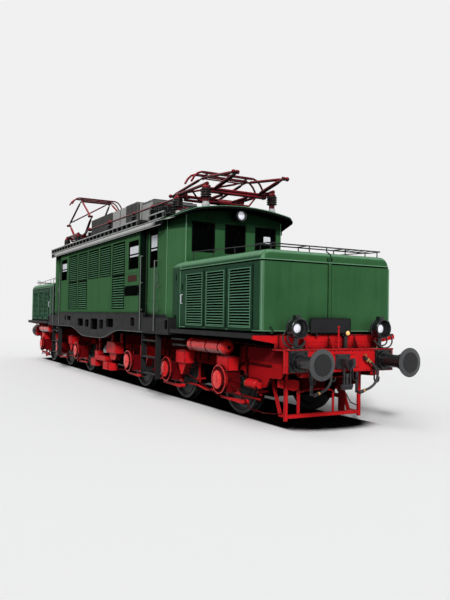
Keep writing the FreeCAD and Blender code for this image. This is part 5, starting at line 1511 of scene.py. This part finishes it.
def make_middle_gear():
    """Reservoirs, boxes and brackets hung below the girders, between the bogies, and a black block among them as
    painted shade.
    """
    gear, dark, bottle = pieces(3)
    Piece().box((-1.12, 1.12), (-0.80, 0.80), (0.40, 1.34)).make("middle_shade_block", "gap_and_shade_black")
    gear.prism([(-0.72, 0.72), (-0.72, 0.46), (0.20, 0.46), (0.20, 0.60), (-0.46, 0.60), (-0.46, 0.72)],
               "Y", 0.98, 1.16)
    gear.prism([(0.42, 1.02), (0.36, 0.92), (0.36, 0.72), (1.10, 0.72), (1.10, 0.92), (0.98, 1.02)], "Y", 0.95, 1.18)
    gear.prism([(0.44, 0.72), (0.52, 0.54), (0.90, 0.54), (1.04, 0.72)], "Y", 0.98, 1.12)
    gear.boxes(
        ((-1.14, -0.70), (0.90, 1.14), (0.27, 0.48)),
        ((-0.04, 0.34), (0.92, 1.14), (0.24, 0.46)),
        ((-0.80, -0.74), (0.96, 1.02), (0.46, 1.30)),
        ((0.30, 0.36), (0.96, 1.02), (0.46, 1.20)),
        ((1.02, 1.08), (0.96, 1.02), (0.95, 1.25)),
    )
    gear.lathe((0.52, 1.03, 0.345), UP, [(-0.11, 0.06), (-0.10, 0.12), (0.10, 0.12), (0.11, 0.06)], 20)
    gear.mirrored().make("middle_gear", "gear_red", bevel=0.006)
    dark.box((-1.10, 1.10), (0.86, 0.90), (1.02, 1.10))
    dark.box((-1.10, 1.10), (0.86, 0.90), (0.62, 0.68))
    dark.bent_rod([(-1.1, 1.0, 0.90), (-0.5, 1.04, 0.96), (0.1, 1.04, 0.80), (0.36, 1.0, 0.84)], 0.016, 8)
    dark.bent_rod([(-1.1, 0.95, 0.30), (0.0, 0.95, 0.26), (1.1, 0.95, 0.31)], 0.022, 8)
    dark.lathe((-0.72, 0.98, 1.12), FORWARD, [(0, 0.03), (0.02, 0.075), (0.90, 0.075), (0.92, 0.03)], 18)
    dark.mirrored().make("middle_dark_gear", "dark_red", bevel=0.004)
    bottle.lathe((0.10, 1.10, 0.69), UP, [(0, 0.04), (0.01, 0.07), (0.11, 0.07), (0.15, 0.035), (0.19, 0.035)], 18)
    bottle.mirrored().make("middle_bottle", "pale_steel")


def make_ladder_trim():
    """Ribs on the treads of the cab ladders."""
    grips = Piece()
    for side in SIDES:
        for height in (0.478, 0.834, 1.187):
            for x in (side * (3.70 + 0.064 * number) for number in range(12)):
                grips.box((x - 0.006, x + 0.006), (1.36, 1.468), (height + 0.011, height + 0.016))
    grips.mirrored().make("ladder_grips", "rail_steel")


make_girder_trim()
make_girder_hole_shade()
make_middle_gear()
make_ladder_trim()


# -------- stage


def seen_directly(tree):
    """1 for what the camera sees, itself or in metal or glass; 0 for light that falls on things."""
    path = add(tree, "ShaderNodeLightPath").outputs
    seen = calc(tree, "MAXIMUM", path["Is Camera Ray"], path["Is Glossy Ray"])
    return calc(tree, "MAXIMUM", seen, path["Is Transmission Ray"])


def make_stage():
    """A pale floor that goes over into the backdrop, with a painted shadow: near black where the locomotive is close
    above it, within a band under its middle.
    """
    size, fade_from, fade_to = 160, 13.0, 30.0
    corners = [(-size, -size, 0), (size, -size, 0), (size, size, 0), (-size, size, 0)]
    data = bpy.data.meshes.new("floor")
    data.from_pydata(corners, [], [(0, 1, 2, 3)])
    floor = place("floor", data)
    material = bpy.data.materials.new("floor")
    tree, output = empty_tree(material, "ShaderNodeOutputMaterial")
    where = add(tree, "ShaderNodeNewGeometry").outputs["Position"]
    beside = ramp(tree, size_along(tree, where, "Y"), 0.84, 0.90)
    open_sky = calc(tree, "MAXIMUM", ramp(tree, openness(tree, 48, 3.2), 0.50, 0.56), beside)
    color = mix(tree, open_sky, (0.002, 0.002, 0.002), (0.88, 0.88, 0.88))
    color = mix(tree, seen_directly(tree), (0.22, 0.22, 0.22), color)
    near = add(tree, "ShaderNodeBsdfDiffuse", color).outputs[0]
    far = add(tree, "ShaderNodeEmission", PALE).outputs[0]
    fade = ramp(tree, length_of(tree, where), fade_from, fade_to)
    blend = add(tree, "ShaderNodeMixShader", fade, near, far)
    feed(tree, output, Surface=blend.outputs[0])
    data.materials.append(material)


def make_light():
    """An even pale world, a soft key lamp at the front right and a softer one above."""
    world = scene.world = bpy.data.worlds.new("studio")
    tree, output = empty_tree(world, "ShaderNodeOutputWorld")
    fill = add(tree, "ShaderNodeBackground", (0.97, 0.98, 1.0, 1), 0.34).outputs[0]
    backdrop = add(tree, "ShaderNodeBackground", PALE, 1.0).outputs[0]
    blend = add(tree, "ShaderNodeMixShader", seen_directly(tree), fill, backdrop)
    feed(tree, output, Surface=blend.outputs[0])
    # Lamp: name, direction it comes from, strength, angular size in degrees.
    for name, source, strength, angle in (
        ("key", (0.80, -0.50, 0.56), 2.4, 12),
        ("top", (0.0, -0.25, 1.0), 0.8, 40),
    ):
        data = bpy.data.lights.new(name, "SUN")
        data.energy = strength
        data.angle = math.radians(angle)
        place(name, data).rotation_euler = Vector(source).to_track_quat("Z", "Y").to_euler()


make_stage()
make_light()
scene.view_settings.view_transform = "Standard"
